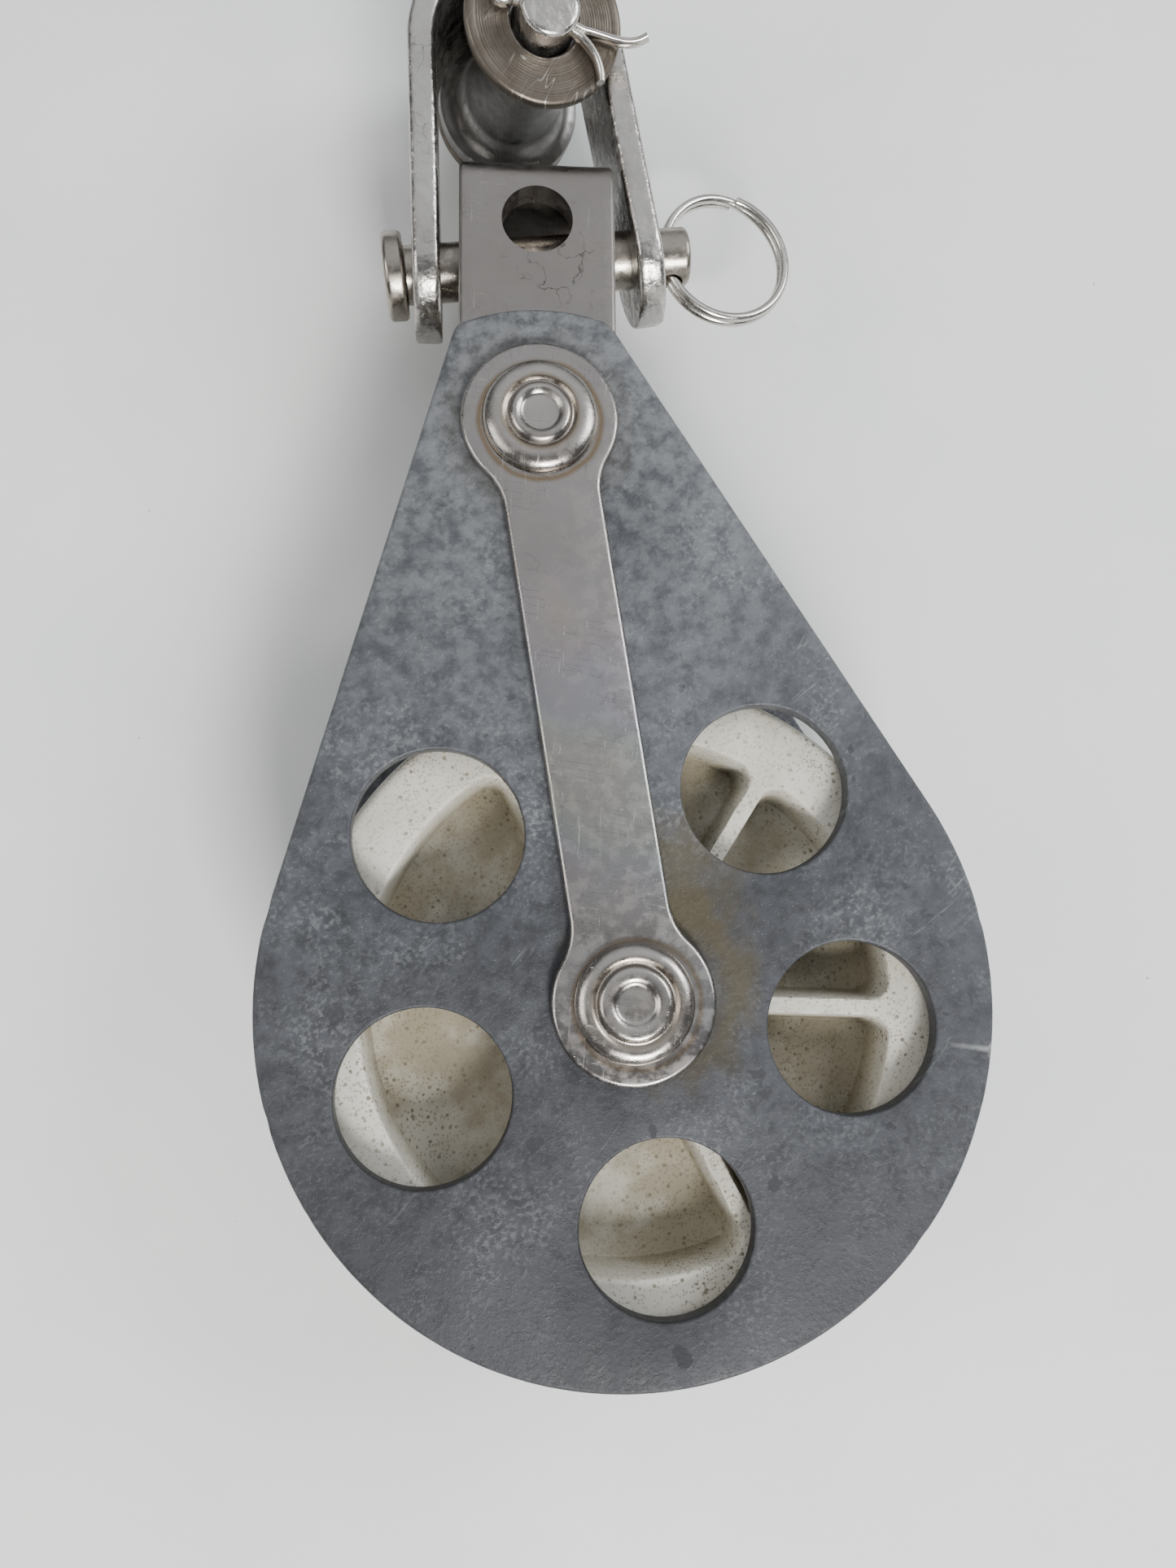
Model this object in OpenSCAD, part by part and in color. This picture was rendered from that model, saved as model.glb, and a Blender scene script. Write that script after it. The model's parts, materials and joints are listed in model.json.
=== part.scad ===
// Single rigging block with a becket head: two teardrop cheek plates either side of a moulded
// sheave, a dog-bone strap riveted over each cheek, a bent head bail, and a flat-bar bow whose
// bight holds a pinned spool. Millimetres. The sheave's centre is the origin, +Z is the sheave's
// axis towards the front cheek, and +Y runs from the sheave to the head rivet.

/* [Block body] */
// Distance from the sheave's axle to the head rivet
rivet_pitch = 88.9; // [74:0.1:107]
// Gap between the two cheek plates
cheek_gap = 28.6; // [23.8:0.1:35]
// Thickness of a cheek plate
cheek_t = 3.2; // [2:0.1:4]
// How far the round lower end of a cheek plate stands outside the sheave
cheek_margin = 4.9; // [3:0.1:8]
// Height of the cheek's crown above the head rivet
crown_rise = 18.4; // [15:0.1:21]
// Radius of the crown's arc
crown_r = 31.3; // [26:0.1:40]
// How far the crown's arc is turned about the head rivet to the right, in degrees
crown_turn = 9.75; // [0:0.25:12]
// Width of a cheek between its flanks, level with the crown's shoulders
crown_w = 24.4; // [22:0.1:30]
// Height of that width above the head rivet
shoulder_rise = 15.5; // [13:0.1:17]
// How far the pressed cheeks sit turned on the axle, in degrees
cheek_skew = 0.5; // [0:0.1:1]
// Chamfer round the lightening holes
hole_chamfer = 0.4; // [0.2:0.1:0.8]

/* [Lightening holes] */
// Diameter of each lightening hole
light_d = 25.4; // [20:0.1:26]
// Distance of the two upper holes from the axle
upper_hole_reach = 37.4; // [36:0.1:38]
// Angle of the two upper holes above the cross line, in degrees
upper_hole_angle = 48.9; // [47:0.1:51]
// Distance of the two side holes from the axle
side_hole_reach = 32.9; // [31:0.1:36]
// Angle of the two side holes below the cross line, in degrees
side_hole_angle = 15.3; // [13:0.1:17]
// Distance of the bottom hole from the axle
bottom_hole_reach = 32.4; // [31:0.1:36]

/* [Straps and rivets] */
// Thickness of a strap
strap_t = 2; // [1.5:0.1:3]
// Width of a strap between its two heads
strap_w = 15; // [12:0.1:18]
// Radius of a strap's round heads
strap_head_r = 12.1; // [10.5:0.1:14]
// Radius of the fillet from a strap's head into its body
strap_fillet = 9; // [6:0.1:12]
// Shank diameter of both rivets
rivet_d = 12.7; // [10.5:0.1:15.3]
// How far a formed rivet head stands out past its shank, all round
rivet_head_lip = 2.45; // [2:0.05:3.5]
// Height of the formed rivet heads above the strap
rivet_head_h = 2.5; // [2:0.1:3.5]

/* [Sheave] */
// Outside diameter of the sheave
sheave_d = 99; // [82:0.1:119]
// Gap between the sheave's rim and each cheek
rim_gap = 1.3; // [0.8:0.1:2.5]
// Depth of the rope groove
groove_depth = 6.5; // [5:0.1:7]
// Diameter of rope that the groove is shaped for
rope_d = 14; // [10:0.5:16]
// Number of ribs on each side of the sheave
ribs = 6; // [4:1:8]
// Width of a rib
rib_w = 2.2; // [1.5:0.1:4]
// Depth of the pockets between the ribs
pocket_depth = 8; // [5:0.1:9]
// Thickness of the wall between the rope groove and the pockets
rim_wall = 2.8; // [2:0.1:6]
// Radius of the hub's boss
hub_r = 16; // [15:0.1:18]
// Angle of the first rib, in degrees
rib_turn = -11; // [-30:1:30]
// Wall thickness of the hub's bush, with its running clearance
bush_wall = 2.5; // [1.5:0.1:3]
// Wall thickness of the hardened sleeve that the bush turns on
sleeve_wall = 2.15; // [1.2:0.05:3]
// Thickness of a thrust washer
thrust_t = 0.8; // [0.5:0.1:1.2]

/* [Head bail] */
// Width of the bent head bail
bail_w = 25; // [20.8:0.1:30]
// Thickness of the bail's metal
bail_t = 4.5; // [3:0.1:5]
// Height of the bail's flat top above the head rivet
bail_rise = 47.3; // [44:0.1:57]
// Diameter of the bail's front-to-back pin hole
bail_hole_d = 11.4; // [9:0.1:13]
// Gap between the head pin and the inside of the bail's flat top
pin_slack = 2.44; // [0.5:0.01:4]
// How far the bail leans to the right at rest, in degrees
bail_lean = 8.5; // [-20:0.5:20]
// Outer bend radius of the bail
bail_bend = 5; // [4.6:0.1:8]

/* [Head pin and ring] */
// Diameter of both clevis pins
pin_d = 9.52; // [7.9:0.01:11.5]
// How far a clevis pin's head stands out past its shank, all round
pin_head_lip = 2.39; // [1.8:0.01:3.2]
// Thickness of a clevis pin's head
pin_head_t = 3.5; // [2.5:0.1:4]
// Wire diameter of the split ring
ring_wire = 1.6; // [1.2:0.1:1.8]
// Outside diameter of the split ring
ring_d = 24; // [20:0.5:28]
// How far the split ring hangs down from the head pin at rest, in degrees
ring_tilt = 10; // [0:1:40]
// How far the head pin leans to the right at rest, in degrees
pin_lean = 2; // [0:0.5:8]

/* [Bow] */
// Thickness of the bow's flat bar
bow_t = 4.5; // [3:0.1:6]
// Width of the bow's flat bar, which is also the width across its round ends
bow_w = 22.2; // [19:0.1:22.6]
// Gap between the bail and each arm of the bow, at the head pin
bow_side_gap = 3.4; // [2:0.1:6]
// Inside radius of the bow's bight
bight_r = 12.9; // [12.8:0.1:15]
// Distance from the head pin to the centre of the bight
bow_reach = 32.6; // [32:0.1:40]
// How far the bow rises from the block's plane at rest, in degrees
bow_rise = 7; // [0:0.5:30]

/* [Spool] */
// Wall thickness of the spool's waist round its pin, with its running clearance
spool_wall = 3.64; // [2.5:0.01:4]
// Diameter of the spool's flange and of its washers
spool_flange_d = 25.4; // [24:0.1:26]
// Length of the spool without its washers
spool_l = 30.8; // [30:0.1:36]
// Thickness of the spool's rear flange
flange_t = 3; // [2:0.1:4]
// Thickness of a spool washer
spool_washer_t = 2.2; // [1.5:0.1:3]
// How far the spool nods towards the block at rest, in degrees
spool_nod = 7; // [0:0.5:7]
// How far the spool rolls to the right at rest, in degrees
spool_roll = 8; // [0:0.5:8]
// Length of the spool's pin under its head
spool_pin_l = 42.7; // [42:0.1:48]
// Diameter of the cotter pin's doubled wire
cotter_d = 2.4; // [1.6:0.1:2.6]

/* [Hidden] */
$fn = 96;

// Clearances
run_clear = 0.06;        // a shaft that turns in a hole, on the radius
rope_slack = 0.2;        // the rope groove beside its rope, on the radius
washer_slack = 0.8;      // a spool washer round the pin, on the radius
cotter_slack = 0.1;      // the cotter in its cross hole, on the radius
cotter_gap = 0.2;        // the cotter above the front washer
bight_slack = 1.74;      // the spool's waist beside the bow's bight, past the nod
bight_side_slack = 0.6574; // the spool's waist beside the bow's right arm, past the roll
ring_bite = 0.05;        // how far the split ring's two turns press into each other
face_clear = 0.3;        // flat faces that pass each other
rivet_clear = 0.05;      // a rivet's shank in the plates that it holds
washer_clear = 0.25;     // a thrust face beside a turning face
ring_clear = 0.36;       // the split ring in its cross hole
cut = 1;                 // how far a cutting tool runs past the face it cuts

// Diameters that follow from the shanks and walls
rivet_head_d = rivet_d + 2 * rivet_head_lip;
sleeve_d = rivet_d + 2 * sleeve_wall;
bush_d = sleeve_d + 2 * bush_wall;
pin_head_d = pin_d + 2 * pin_head_lip;
spool_waist_d = pin_d + 2 * spool_wall;

// Stack through the block, from the middle outwards
inner_z = cheek_gap / 2;
outer_z = inner_z + cheek_t;
strap_z = outer_z + strap_t;

// Cheek outline: a circle, two flanks tangent to it, and a crown clipped by a turned arc
cheek_r = sheave_d / 2 + cheek_margin;
shoulder_y = rivet_pitch + shoulder_rise;
crown_centre = [0, rivet_pitch] - (crown_r - crown_rise) * [sin(crown_turn), cos(crown_turn)];
// The flank passes through the shoulder's width and touches the circle
shoulder_reach = norm([crown_w / 2, shoulder_y]);
flank_angle = atan2(shoulder_y, crown_w / 2) - acos(cheek_r / shoulder_reach);
flank_touch = [cheek_r * cos(flank_angle), cheek_r * sin(flank_angle)];
flank_apex = cheek_r / sin(flank_angle);
light_holes = [
    upper_hole_reach * [-cos(upper_hole_angle), sin(upper_hole_angle)],
    upper_hole_reach * [cos(upper_hole_angle), sin(upper_hole_angle)],
    side_hole_reach * [-cos(side_hole_angle), -sin(side_hole_angle)],
    side_hole_reach * [cos(side_hole_angle), -sin(side_hole_angle)],
    [0, -bottom_hole_reach]];

// Strap fillet: a circle that touches the head's circle and the body's straight side
fillet_x = strap_w / 2 + strap_fillet;
fillet_y = sqrt(pow(strap_head_r + strap_fillet, 2) - fillet_x * fillet_x);
fillet_end = [fillet_x, fillet_y] * strap_head_r / (strap_head_r + strap_fillet);

// Sheave
hub_z = inner_z - thrust_t - washer_clear;
rim_w = cheek_gap - 2 * rim_gap;
groove_r = rope_d / 2 + rope_slack;
groove_bottom = sheave_d / 2 - groove_depth;
pocket_r = groove_bottom - rim_wall;
groove_flare = 30;
rim_round = 1.6;
boss_step = 0.8;

// Bail, between the cheeks
bail_z = inner_z - face_clear;
bail_in_z = bail_z - bail_t;
spacer_l = 2 * (bail_in_z - face_clear);
spacer_step = 0.8;       // how far the spacer's rim lies inside the rivet's head
pin_rise = bail_rise - bail_t - pin_slack - pin_d / 2;

// Bow: the inner face of each arm runs from the mouth to a tangent on the bight
mouth_x = bail_w / 2 + bow_side_gap;
arm_slope = acos(bight_r / norm([mouth_x, bow_reach])) - atan2(bow_reach, mouth_x);
arm_len = norm([mouth_x, bow_reach]) * sin(acos(bight_r / norm([mouth_x, bow_reach])));
bow_end_r = bow_w / 2;
arm_bite = 0.03;
arm_out_x = mouth_x + bow_t / cos(arm_slope);

// Head pin, along X through the bow's two ends
pin_head_x = arm_out_x + bow_end_r * tan(arm_slope) + face_clear;
ring_r = (ring_d - ring_wire) / 2;
ring_pitch = ring_wire - ring_bite;
ring_wall = 0.8;         // metal between the bow's arm and the ring's cross hole
pin_end_wall = 1.2;      // metal between that hole and the pin's end
ring_sag = ring_r - sqrt(ring_r * ring_r - pin_d * pin_d / 4);
ring_hole_r = norm([ring_sag / 2, ring_pitch / 2]) + ring_wire / 2 + ring_clear;
ring_x = arm_out_x + ring_hole_r + ring_wall;
pin_end_x = ring_x + ring_hole_r + pin_end_wall;

// Spool, along Z of its own frame, its middle in the bight
spool_side = bight_r - spool_waist_d / 2 / cos(spool_roll) - bow_w / 2 * tan(spool_roll)
    - bight_side_slack;
spool_up = bow_reach + bight_r - spool_waist_d / 2 - bow_w / 2 * tan(spool_nod) - bight_slack;
flange_z = -14;
flange_fillet = 4.3;
spool_top = flange_z - flange_t + spool_l;
front_washer_z = spool_top + washer_clear;
rear_washer_z = flange_z - flange_t - washer_clear;
washer_bore_d = pin_d + 2 * washer_slack;
cotter_z = front_washer_z + spool_washer_t + cotter_d / 2 + cotter_gap;
spool_pin_tail = 2.4;    // length of pin beyond the cotter
spool_pin_top = cotter_z + cotter_d / 2 + spool_pin_tail;
spool_pin_head_z = spool_pin_top - spool_pin_l;
cotter_hole_r = cotter_d / 2 + cotter_slack;
cotter_turn = -27;
pin_chamfer = 0.8;
// Cotter: each leg's points past the end of its straight run, one leg upturned and one laid down
cotter_spread = pin_d / 2 + 0.9;
cotter_eye_r = 1.5;
upturned_leg = [[0, 0.3, 0], [3.6, 1.2, 0.1], [7.4, 1.9, 0.5], [10.2, 3.9, 1.6]];
laid_leg = [[0, -0.3, 0], [2.4, -1.2, 0], [4.6, -2.9, -0.1], [5.9, -5, -0.2]];

// Formed rivet heads: radii at which the raised ring's edge starts
axle_ring_at = 4.8;
head_ring_at = 4;
head_shoulder = 1.5;
head_land_step = 0.3;    // how far the land outside the ring lies below it
head_ring_round = 0.6;
head_groove_r = 0.75;
head_groove_rise = 0.25; // how far the groove's centre lies above the land
head_dimple_r = 2.9;
head_dimple_depth = 0.9;

steel = "silver";
dull_steel = [0.55, 0.53, 0.51];
anodised = [0.42, 0.44, 0.49];
cream = [0.86, 0.84, 0.76];
bronze = [0.62, 0.48, 0.28];

// ---- places ----

module on_bail() translate([0, rivet_pitch, 0]) rotate([0, 0, -bail_lean]) children();
module on_pin() on_bail() translate([0, pin_rise, 0]) rotate([0, 0, bail_lean - pin_lean]) children();
module on_bow() on_pin() rotate([bow_rise, 0, 0]) children();
module on_spool() on_bow() translate([spool_side, spool_up, 0])
    rotate([spool_nod, spool_roll, 0]) children();

// ---- shared shapes ----

// A tube along Z between two heights
module tube(r_out, r_in, z0, z1) {
    difference() {
        translate([0, 0, z0]) cylinder(r = r_out, h = z1 - z0);
        translate([0, 0, z0 - cut]) cylinder(r = r_in, h = z1 - z0 + 2 * cut);
    }
}

// A pin along +Z from its head's face at 0 to a chamfered tip, with its head below
module clevis_pin(length) {
    head_round = 0.9;
    cylinder(d = pin_d, h = length - pin_chamfer);
    translate([0, 0, length - pin_chamfer])
        cylinder(d1 = pin_d, d2 = pin_d - 2 * pin_chamfer, h = pin_chamfer);
    rotate_extrude() {
        translate([0, -pin_head_t]) square([pin_head_d / 2 - head_round, pin_head_t]);
        translate([0, head_round - pin_head_t]) square([pin_head_d / 2, pin_head_t - 2 * head_round]);
        translate([pin_head_d / 2 - head_round, -head_round]) circle(head_round);
        translate([pin_head_d / 2 - head_round, head_round - pin_head_t]) circle(head_round);
    }
}

// ---- cheeks ----

module cheek_outline() {
    circle(cheek_r);
    intersection() {
        polygon([[-flank_touch.x, flank_touch.y], [flank_touch.x, flank_touch.y], [0, flank_apex]]);
        union() {
            translate([-cheek_r, 0]) square([2 * cheek_r, crown_centre.y]);
            translate(crown_centre) circle(crown_r);
        }
    }
}

// A cheek plate between z = 0 and cheek_t, chamfered round its holes on both faces
module cheek_plate() {
    difference() {
        rotate([0, 0, -cheek_skew]) difference() {
            linear_extrude(cheek_t) cheek_outline();
            for (p = light_holes) translate([p.x, p.y, 0]) {
                translate([0, 0, -cut]) cylinder(d = light_d, h = cheek_t + 2 * cut);
                translate([0, 0, cheek_t - hole_chamfer])
                    cylinder(d1 = light_d, d2 = light_d + 2 * (hole_chamfer + cut), h = hole_chamfer + cut);
                translate([0, 0, -cut])
                    cylinder(d1 = light_d + 2 * (hole_chamfer + cut), d2 = light_d, h = hole_chamfer + cut);
            }
        }
        for (y = [0, rivet_pitch]) translate([0, y, -cut])
            cylinder(r = rivet_d / 2 + rivet_clear, h = cheek_t + 2 * cut);
    }
}

module front_cheek() color(anodised) translate([0, 0, inner_z]) cheek_plate();
module rear_cheek() color(anodised) translate([0, 0, -outer_z]) cheek_plate();

// ---- straps ----

// One end of the strap: its head and the two fillets that run into the body
module strap_end() {
    circle(strap_head_r);
    difference() {
        translate([-fillet_end.x, 0]) square([2 * fillet_end.x, fillet_y]);
        for (s = [-1, 1]) translate([s * fillet_x, fillet_y]) circle(strap_fillet);
    }
}

module strap_plate() {
    difference() {
        linear_extrude(strap_t) {
            strap_end();
            translate([0, rivet_pitch]) rotate(180) strap_end();
            translate([-strap_w / 2, 0]) square([strap_w, rivet_pitch]);
        }
        for (y = [0, rivet_pitch]) translate([0, y, -cut])
            cylinder(r = rivet_d / 2 + rivet_clear, h = strap_t + 2 * cut);
    }
}

module front_strap() color(steel) translate([0, 0, outer_z]) strap_plate();
module rear_strap() color(steel) translate([0, 0, -strap_z]) strap_plate();

// ---- rivets ----

// Half-profile of a formed head standing on y = 0: round shoulder, groove, raised ring, dimple
module rivet_head_profile(ring_at) {
    shoulder = head_shoulder;
    land = rivet_head_h - head_land_step;
    ring_round = head_ring_round;
    ball = (pow(head_dimple_r, 2) + pow(head_dimple_depth, 2)) / (2 * head_dimple_depth);
    difference() {
        union() {
            square([rivet_head_d / 2 - shoulder, land]);
            square([rivet_head_d / 2, land - shoulder]);
            intersection() {
                translate([rivet_head_d / 2 - shoulder, land - shoulder]) circle(shoulder);
                square([rivet_head_d, rivet_head_h]);
            }
            square([ring_at, rivet_head_h]);
            translate([ring_at, rivet_head_h - ring_round]) circle(ring_round);
        }
        translate([ring_at + 2 * head_groove_r, land + head_groove_rise]) circle(head_groove_r);
        translate([0, rivet_head_h - head_dimple_depth + ball]) circle(ball);
    }
}

module rivet(ring_at) {
    translate([0, 0, -strap_z]) cylinder(d = rivet_d, h = 2 * strap_z);
    for (m = [0, 1]) mirror([0, 0, m]) translate([0, 0, strap_z]) rotate_extrude() intersection() {
        rivet_head_profile(ring_at);
        translate([0, -cut]) square([rivet_head_d, rivet_head_h + 2 * cut]);
    }
}

module axle_rivet() color(steel) rivet(axle_ring_at);
module head_rivet() color(steel) translate([0, rivet_pitch, 0]) rivet(head_ring_at);

// ---- sheave and its bearing ----

module axle_sleeve() color(dull_steel) tube(sleeve_d / 2, rivet_d / 2 + rivet_clear, -inner_z, inner_z);
module sheave_bush() color(bronze) tube(bush_d / 2, sleeve_d / 2 + run_clear, -hub_z, hub_z);

module thrust_washer() tube(hub_r - boss_step, sleeve_d / 2 + run_clear, 0, thrust_t);
module front_thrust_washer() color(bronze) translate([0, 0, inner_z - thrust_t]) thrust_washer();
module rear_thrust_washer() color(bronze) translate([0, 0, -inner_z]) thrust_washer();

// Half-section of the sheave's rope groove: a round bottom with flared sides
module groove_profile() {
    reach = groove_depth + cut;
    side = groove_r * cos(groove_flare);
    rise = groove_r * (1 - sin(groove_flare));
    translate([groove_bottom + groove_r, 0]) circle(groove_r);
    polygon([[groove_bottom + rise, -side],
        [groove_bottom + reach, -side - (reach - rise) * tan(groove_flare)],
        [groove_bottom + reach, side + (reach - rise) * tan(groove_flare)],
        [groove_bottom + rise, side]]);
}

module sheave() color(cream) {
    difference() {
        rotate_extrude() difference() {
            union() {
                translate([0, -rim_w / 2]) square([sheave_d / 2 - rim_round, rim_w]);
                translate([0, rim_round - rim_w / 2]) square([sheave_d / 2, rim_w - 2 * rim_round]);
                for (s = [-1, 1]) translate([sheave_d / 2 - rim_round, s * (rim_w / 2 - rim_round)])
                    circle(rim_round);
                translate([0, -hub_z]) square([hub_r - boss_step, 2 * hub_z]);
            }
            translate([-cut, -hub_z - cut]) square([bush_d / 2 + cut, 2 * (hub_z + cut)]);
            groove_profile();
        }
        for (s = [0, 1]) mirror([0, 0, s]) translate([0, 0, rim_w / 2 - pocket_depth])
            for (k = [0:ribs - 1]) rotate([0, 0, rib_turn + k * 360 / ribs]) pocket(pocket_depth + cut);
    }
}

// One pocket, from the rib on the X axis to the next rib
module pocket(h) {
    step = 360 / ribs;
    far = 2 * pocket_r;
    corner = [rib_w / 2 / tan(step / 2), rib_w / 2];
    linear_extrude(h) intersection() {
        difference() {
            circle(pocket_r);
            circle(hub_r);
        }
        polygon([corner, corner + [far, 0], corner + far * [cos(step / 2), sin(step / 2)],
            corner + far * [cos(step), sin(step)]]);
    }
}

// ---- head ----

module head_spacer() color(dull_steel) translate([0, rivet_pitch, 0])
    tube(rivet_head_d / 2 - spacer_step, rivet_d / 2 + rivet_clear, -spacer_l / 2, spacer_l / 2);

// Side view of the bent bail, Y to the right and Z up
module bail_side() {
    foot = bail_w / 2;
    difference() {
        union() {
            translate([-foot, -bail_z]) square([bail_rise - bail_bend + foot, 2 * bail_z]);
            translate([0, bail_bend - bail_z]) square([bail_rise, 2 * (bail_z - bail_bend)]);
            for (s = [-1, 1]) translate([bail_rise - bail_bend, s * (bail_z - bail_bend)]) circle(bail_bend);
        }
        translate([-foot - cut, -bail_in_z]) square([bail_rise - bail_t + foot + cut, 2 * bail_in_z]);
    }
}

module head_bail() color(steel) on_bail() difference() {
    intersection() {
        rotate([90, 0, 90]) translate([0, 0, -bail_w / 2]) linear_extrude(bail_w) bail_side();
        translate([0, 0, -bail_z - cut]) linear_extrude(2 * (bail_z + cut)) {
            circle(d = bail_w);
            translate([-bail_w / 2, 0]) square([bail_w, bail_rise + cut]);
        }
    }
    translate([0, 0, -bail_z - cut]) cylinder(r = rivet_d / 2 + run_clear, h = 2 * (bail_z + cut));
    translate([0, pin_rise, -bail_z - cut]) cylinder(d = bail_hole_d, h = 2 * (bail_z + cut));
}

module head_pin() color(dull_steel) on_pin() difference() {
    translate([-pin_head_x, 0, 0]) rotate([0, 90, 0]) clevis_pin(pin_head_x + pin_end_x);
    translate([ring_x, pin_d, 0]) rotate([90, 0, 0]) cylinder(r = ring_hole_r, h = 2 * pin_d);
}

// Two turns of wire laid side by side
module split_ring() color(steel) on_pin() translate([ring_x, 0, 0]) rotate([0, ring_tilt, 0])
    translate([ring_r - ring_sag / 2, 0, 0]) rotate_extrude() for (s = [-1, 1])
        translate([ring_r, s * ring_pitch / 2]) circle(d = ring_wire, $fn = 48);

// ---- bow ----

// Region inside a U of the given bight radius, whose arms keep the bow's slope. The arms start
// just inside the bight's arc, so that the two shapes cross and don't only touch.
module bow_outline(r) {
    start = r - arm_bite;
    tip = [start * cos(arm_slope), bow_reach + start * sin(arm_slope)];
    tail = tip + (arm_len + 2 * bow_end_r) * [sin(arm_slope), -cos(arm_slope)];
    translate([0, bow_reach]) circle(r);
    polygon([[-tail.x, tail.y], tail, tip, [-tip.x, tip.y]]);
}

module bow() color(dull_steel) on_bow() difference() {
    intersection() {
        translate([0, 0, -bow_w / 2]) linear_extrude(bow_w) bow_outline(bight_r + bow_t);
        rotate([90, 0, 90]) translate([0, 0, -2 * arm_out_x]) linear_extrude(4 * arm_out_x) {
            circle(bow_end_r);
            translate([0, -bow_end_r]) square([bow_reach + bight_r + bow_t + cut, 2 * bow_end_r]);
        }
    }
    translate([0, 0, -bow_w]) linear_extrude(2 * bow_w) bow_outline(bight_r);
    translate([-2 * arm_out_x, 0, 0]) rotate([0, 90, 0])
        cylinder(r = pin_d / 2 + run_clear, h = 4 * arm_out_x);
}

// ---- spool, its washers, pin and cotter ----

module spool() color(dull_steel) on_spool() difference() {
    rotate_extrude() difference() {
        union() {
            translate([0, flange_z - flange_t]) square([spool_waist_d / 2, spool_l]);
            translate([0, flange_z - flange_t]) square([spool_flange_d / 2, flange_t]);
            translate([0, flange_z]) square([spool_waist_d / 2 + flange_fillet, flange_fillet]);
        }
        translate([spool_waist_d / 2 + flange_fillet, flange_z + flange_fillet]) circle(flange_fillet);
    }
    translate([0, 0, -spool_l]) cylinder(r = pin_d / 2 + run_clear, h = 2 * spool_l);
}

module spool_washer() tube(spool_flange_d / 2, washer_bore_d / 2, 0, spool_washer_t);
module front_spool_washer() color(dull_steel) on_spool() translate([0, 0, front_washer_z]) spool_washer();
module rear_spool_washer() color(dull_steel) on_spool()
    translate([0, 0, rear_washer_z - spool_washer_t]) spool_washer();

module spool_pin() color(steel) on_spool() difference() {
    translate([0, 0, spool_pin_head_z]) clevis_pin(spool_pin_l);
    on_cotter() translate([-pin_d, 0, 0]) rotate([0, 90, 0]) cylinder(r = cotter_hole_r, h = 2 * pin_d);
}

// The cotter runs along X of this frame, its eye on the left and its legs on the right
module on_cotter() translate([0, 0, cotter_z]) rotate([0, 0, cotter_turn]) children();

// A round leg through a list of points
module leg(points, d) {
    for (k = [0:len(points) - 2]) hull() {
        translate(points[k]) sphere(d = d, $fn = 12);
        translate(points[k + 1]) sphere(d = d, $fn = 12);
    }
}

module cotter_pin() color(steel) on_spool() on_cotter() {
    leg_d = cotter_d / 2;
    translate([-cotter_spread, 0, 0]) rotate([0, 90, 0])
        cylinder(d = cotter_d, h = 2 * cotter_spread, $fn = 48);
    translate([-cotter_spread - cotter_eye_r, 0, 0]) rotate_extrude()
        translate([cotter_eye_r, 0]) circle(d = leg_d, $fn = 32);
    for (points = [upturned_leg, laid_leg]) translate([cotter_spread, 0, 0]) leg(points, leg_d);
}

front_cheek();
rear_cheek();
front_strap();
rear_strap();
axle_rivet();
axle_sleeve();
front_thrust_washer();
rear_thrust_washer();
sheave();
sheave_bush();
head_rivet();
head_spacer();
head_bail();
head_pin();
split_ring();
bow();
spool();
front_spool_washer();
rear_spool_washer();
spool_pin();
cotter_pin();
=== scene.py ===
"""Looks for a single rigging block with a head bail, a pinned bow and a spool in its bight."""

import json
import logging
import math
from dataclasses import dataclass, field
from enum import Enum
from typing import Callable, Optional, Sequence

import bmesh
import bpy
from mathutils import Matrix, Vector, noise

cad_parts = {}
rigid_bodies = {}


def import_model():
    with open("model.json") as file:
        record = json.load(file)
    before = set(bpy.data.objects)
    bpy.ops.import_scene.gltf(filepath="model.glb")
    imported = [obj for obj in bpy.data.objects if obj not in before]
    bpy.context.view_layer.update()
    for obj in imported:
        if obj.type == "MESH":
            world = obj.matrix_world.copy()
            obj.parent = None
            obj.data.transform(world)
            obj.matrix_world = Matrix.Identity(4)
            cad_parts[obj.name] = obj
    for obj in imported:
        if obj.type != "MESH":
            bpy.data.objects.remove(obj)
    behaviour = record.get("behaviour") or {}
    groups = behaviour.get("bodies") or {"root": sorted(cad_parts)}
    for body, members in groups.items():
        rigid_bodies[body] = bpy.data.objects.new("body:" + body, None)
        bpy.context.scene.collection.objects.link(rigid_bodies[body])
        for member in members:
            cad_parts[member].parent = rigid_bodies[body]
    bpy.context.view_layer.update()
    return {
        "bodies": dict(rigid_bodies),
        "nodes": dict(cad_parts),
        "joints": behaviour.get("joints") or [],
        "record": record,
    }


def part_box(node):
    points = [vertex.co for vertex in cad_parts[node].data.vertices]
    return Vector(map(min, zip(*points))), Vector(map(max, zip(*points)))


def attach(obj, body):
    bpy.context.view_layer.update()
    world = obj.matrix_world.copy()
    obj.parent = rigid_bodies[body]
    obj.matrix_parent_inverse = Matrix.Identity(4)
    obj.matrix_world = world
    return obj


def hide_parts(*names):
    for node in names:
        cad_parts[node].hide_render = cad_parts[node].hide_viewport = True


LOG = logging.getLogger("rigging_block")
MM = 0.001
Color = tuple[float, float, float]
Point2 = tuple[float, float]


class Slot(Enum):
    """Material slot names; the pieces do not take their finish from them."""

    PLATE = "anodised_plate"
    POLISHED = "polished_steel"
    DULL = "dull_steel"
    FORGED = "forged_steel"
    CREAM = "cream_plastic"


# ---------------------------------------------------------------- shader graphs


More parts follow.
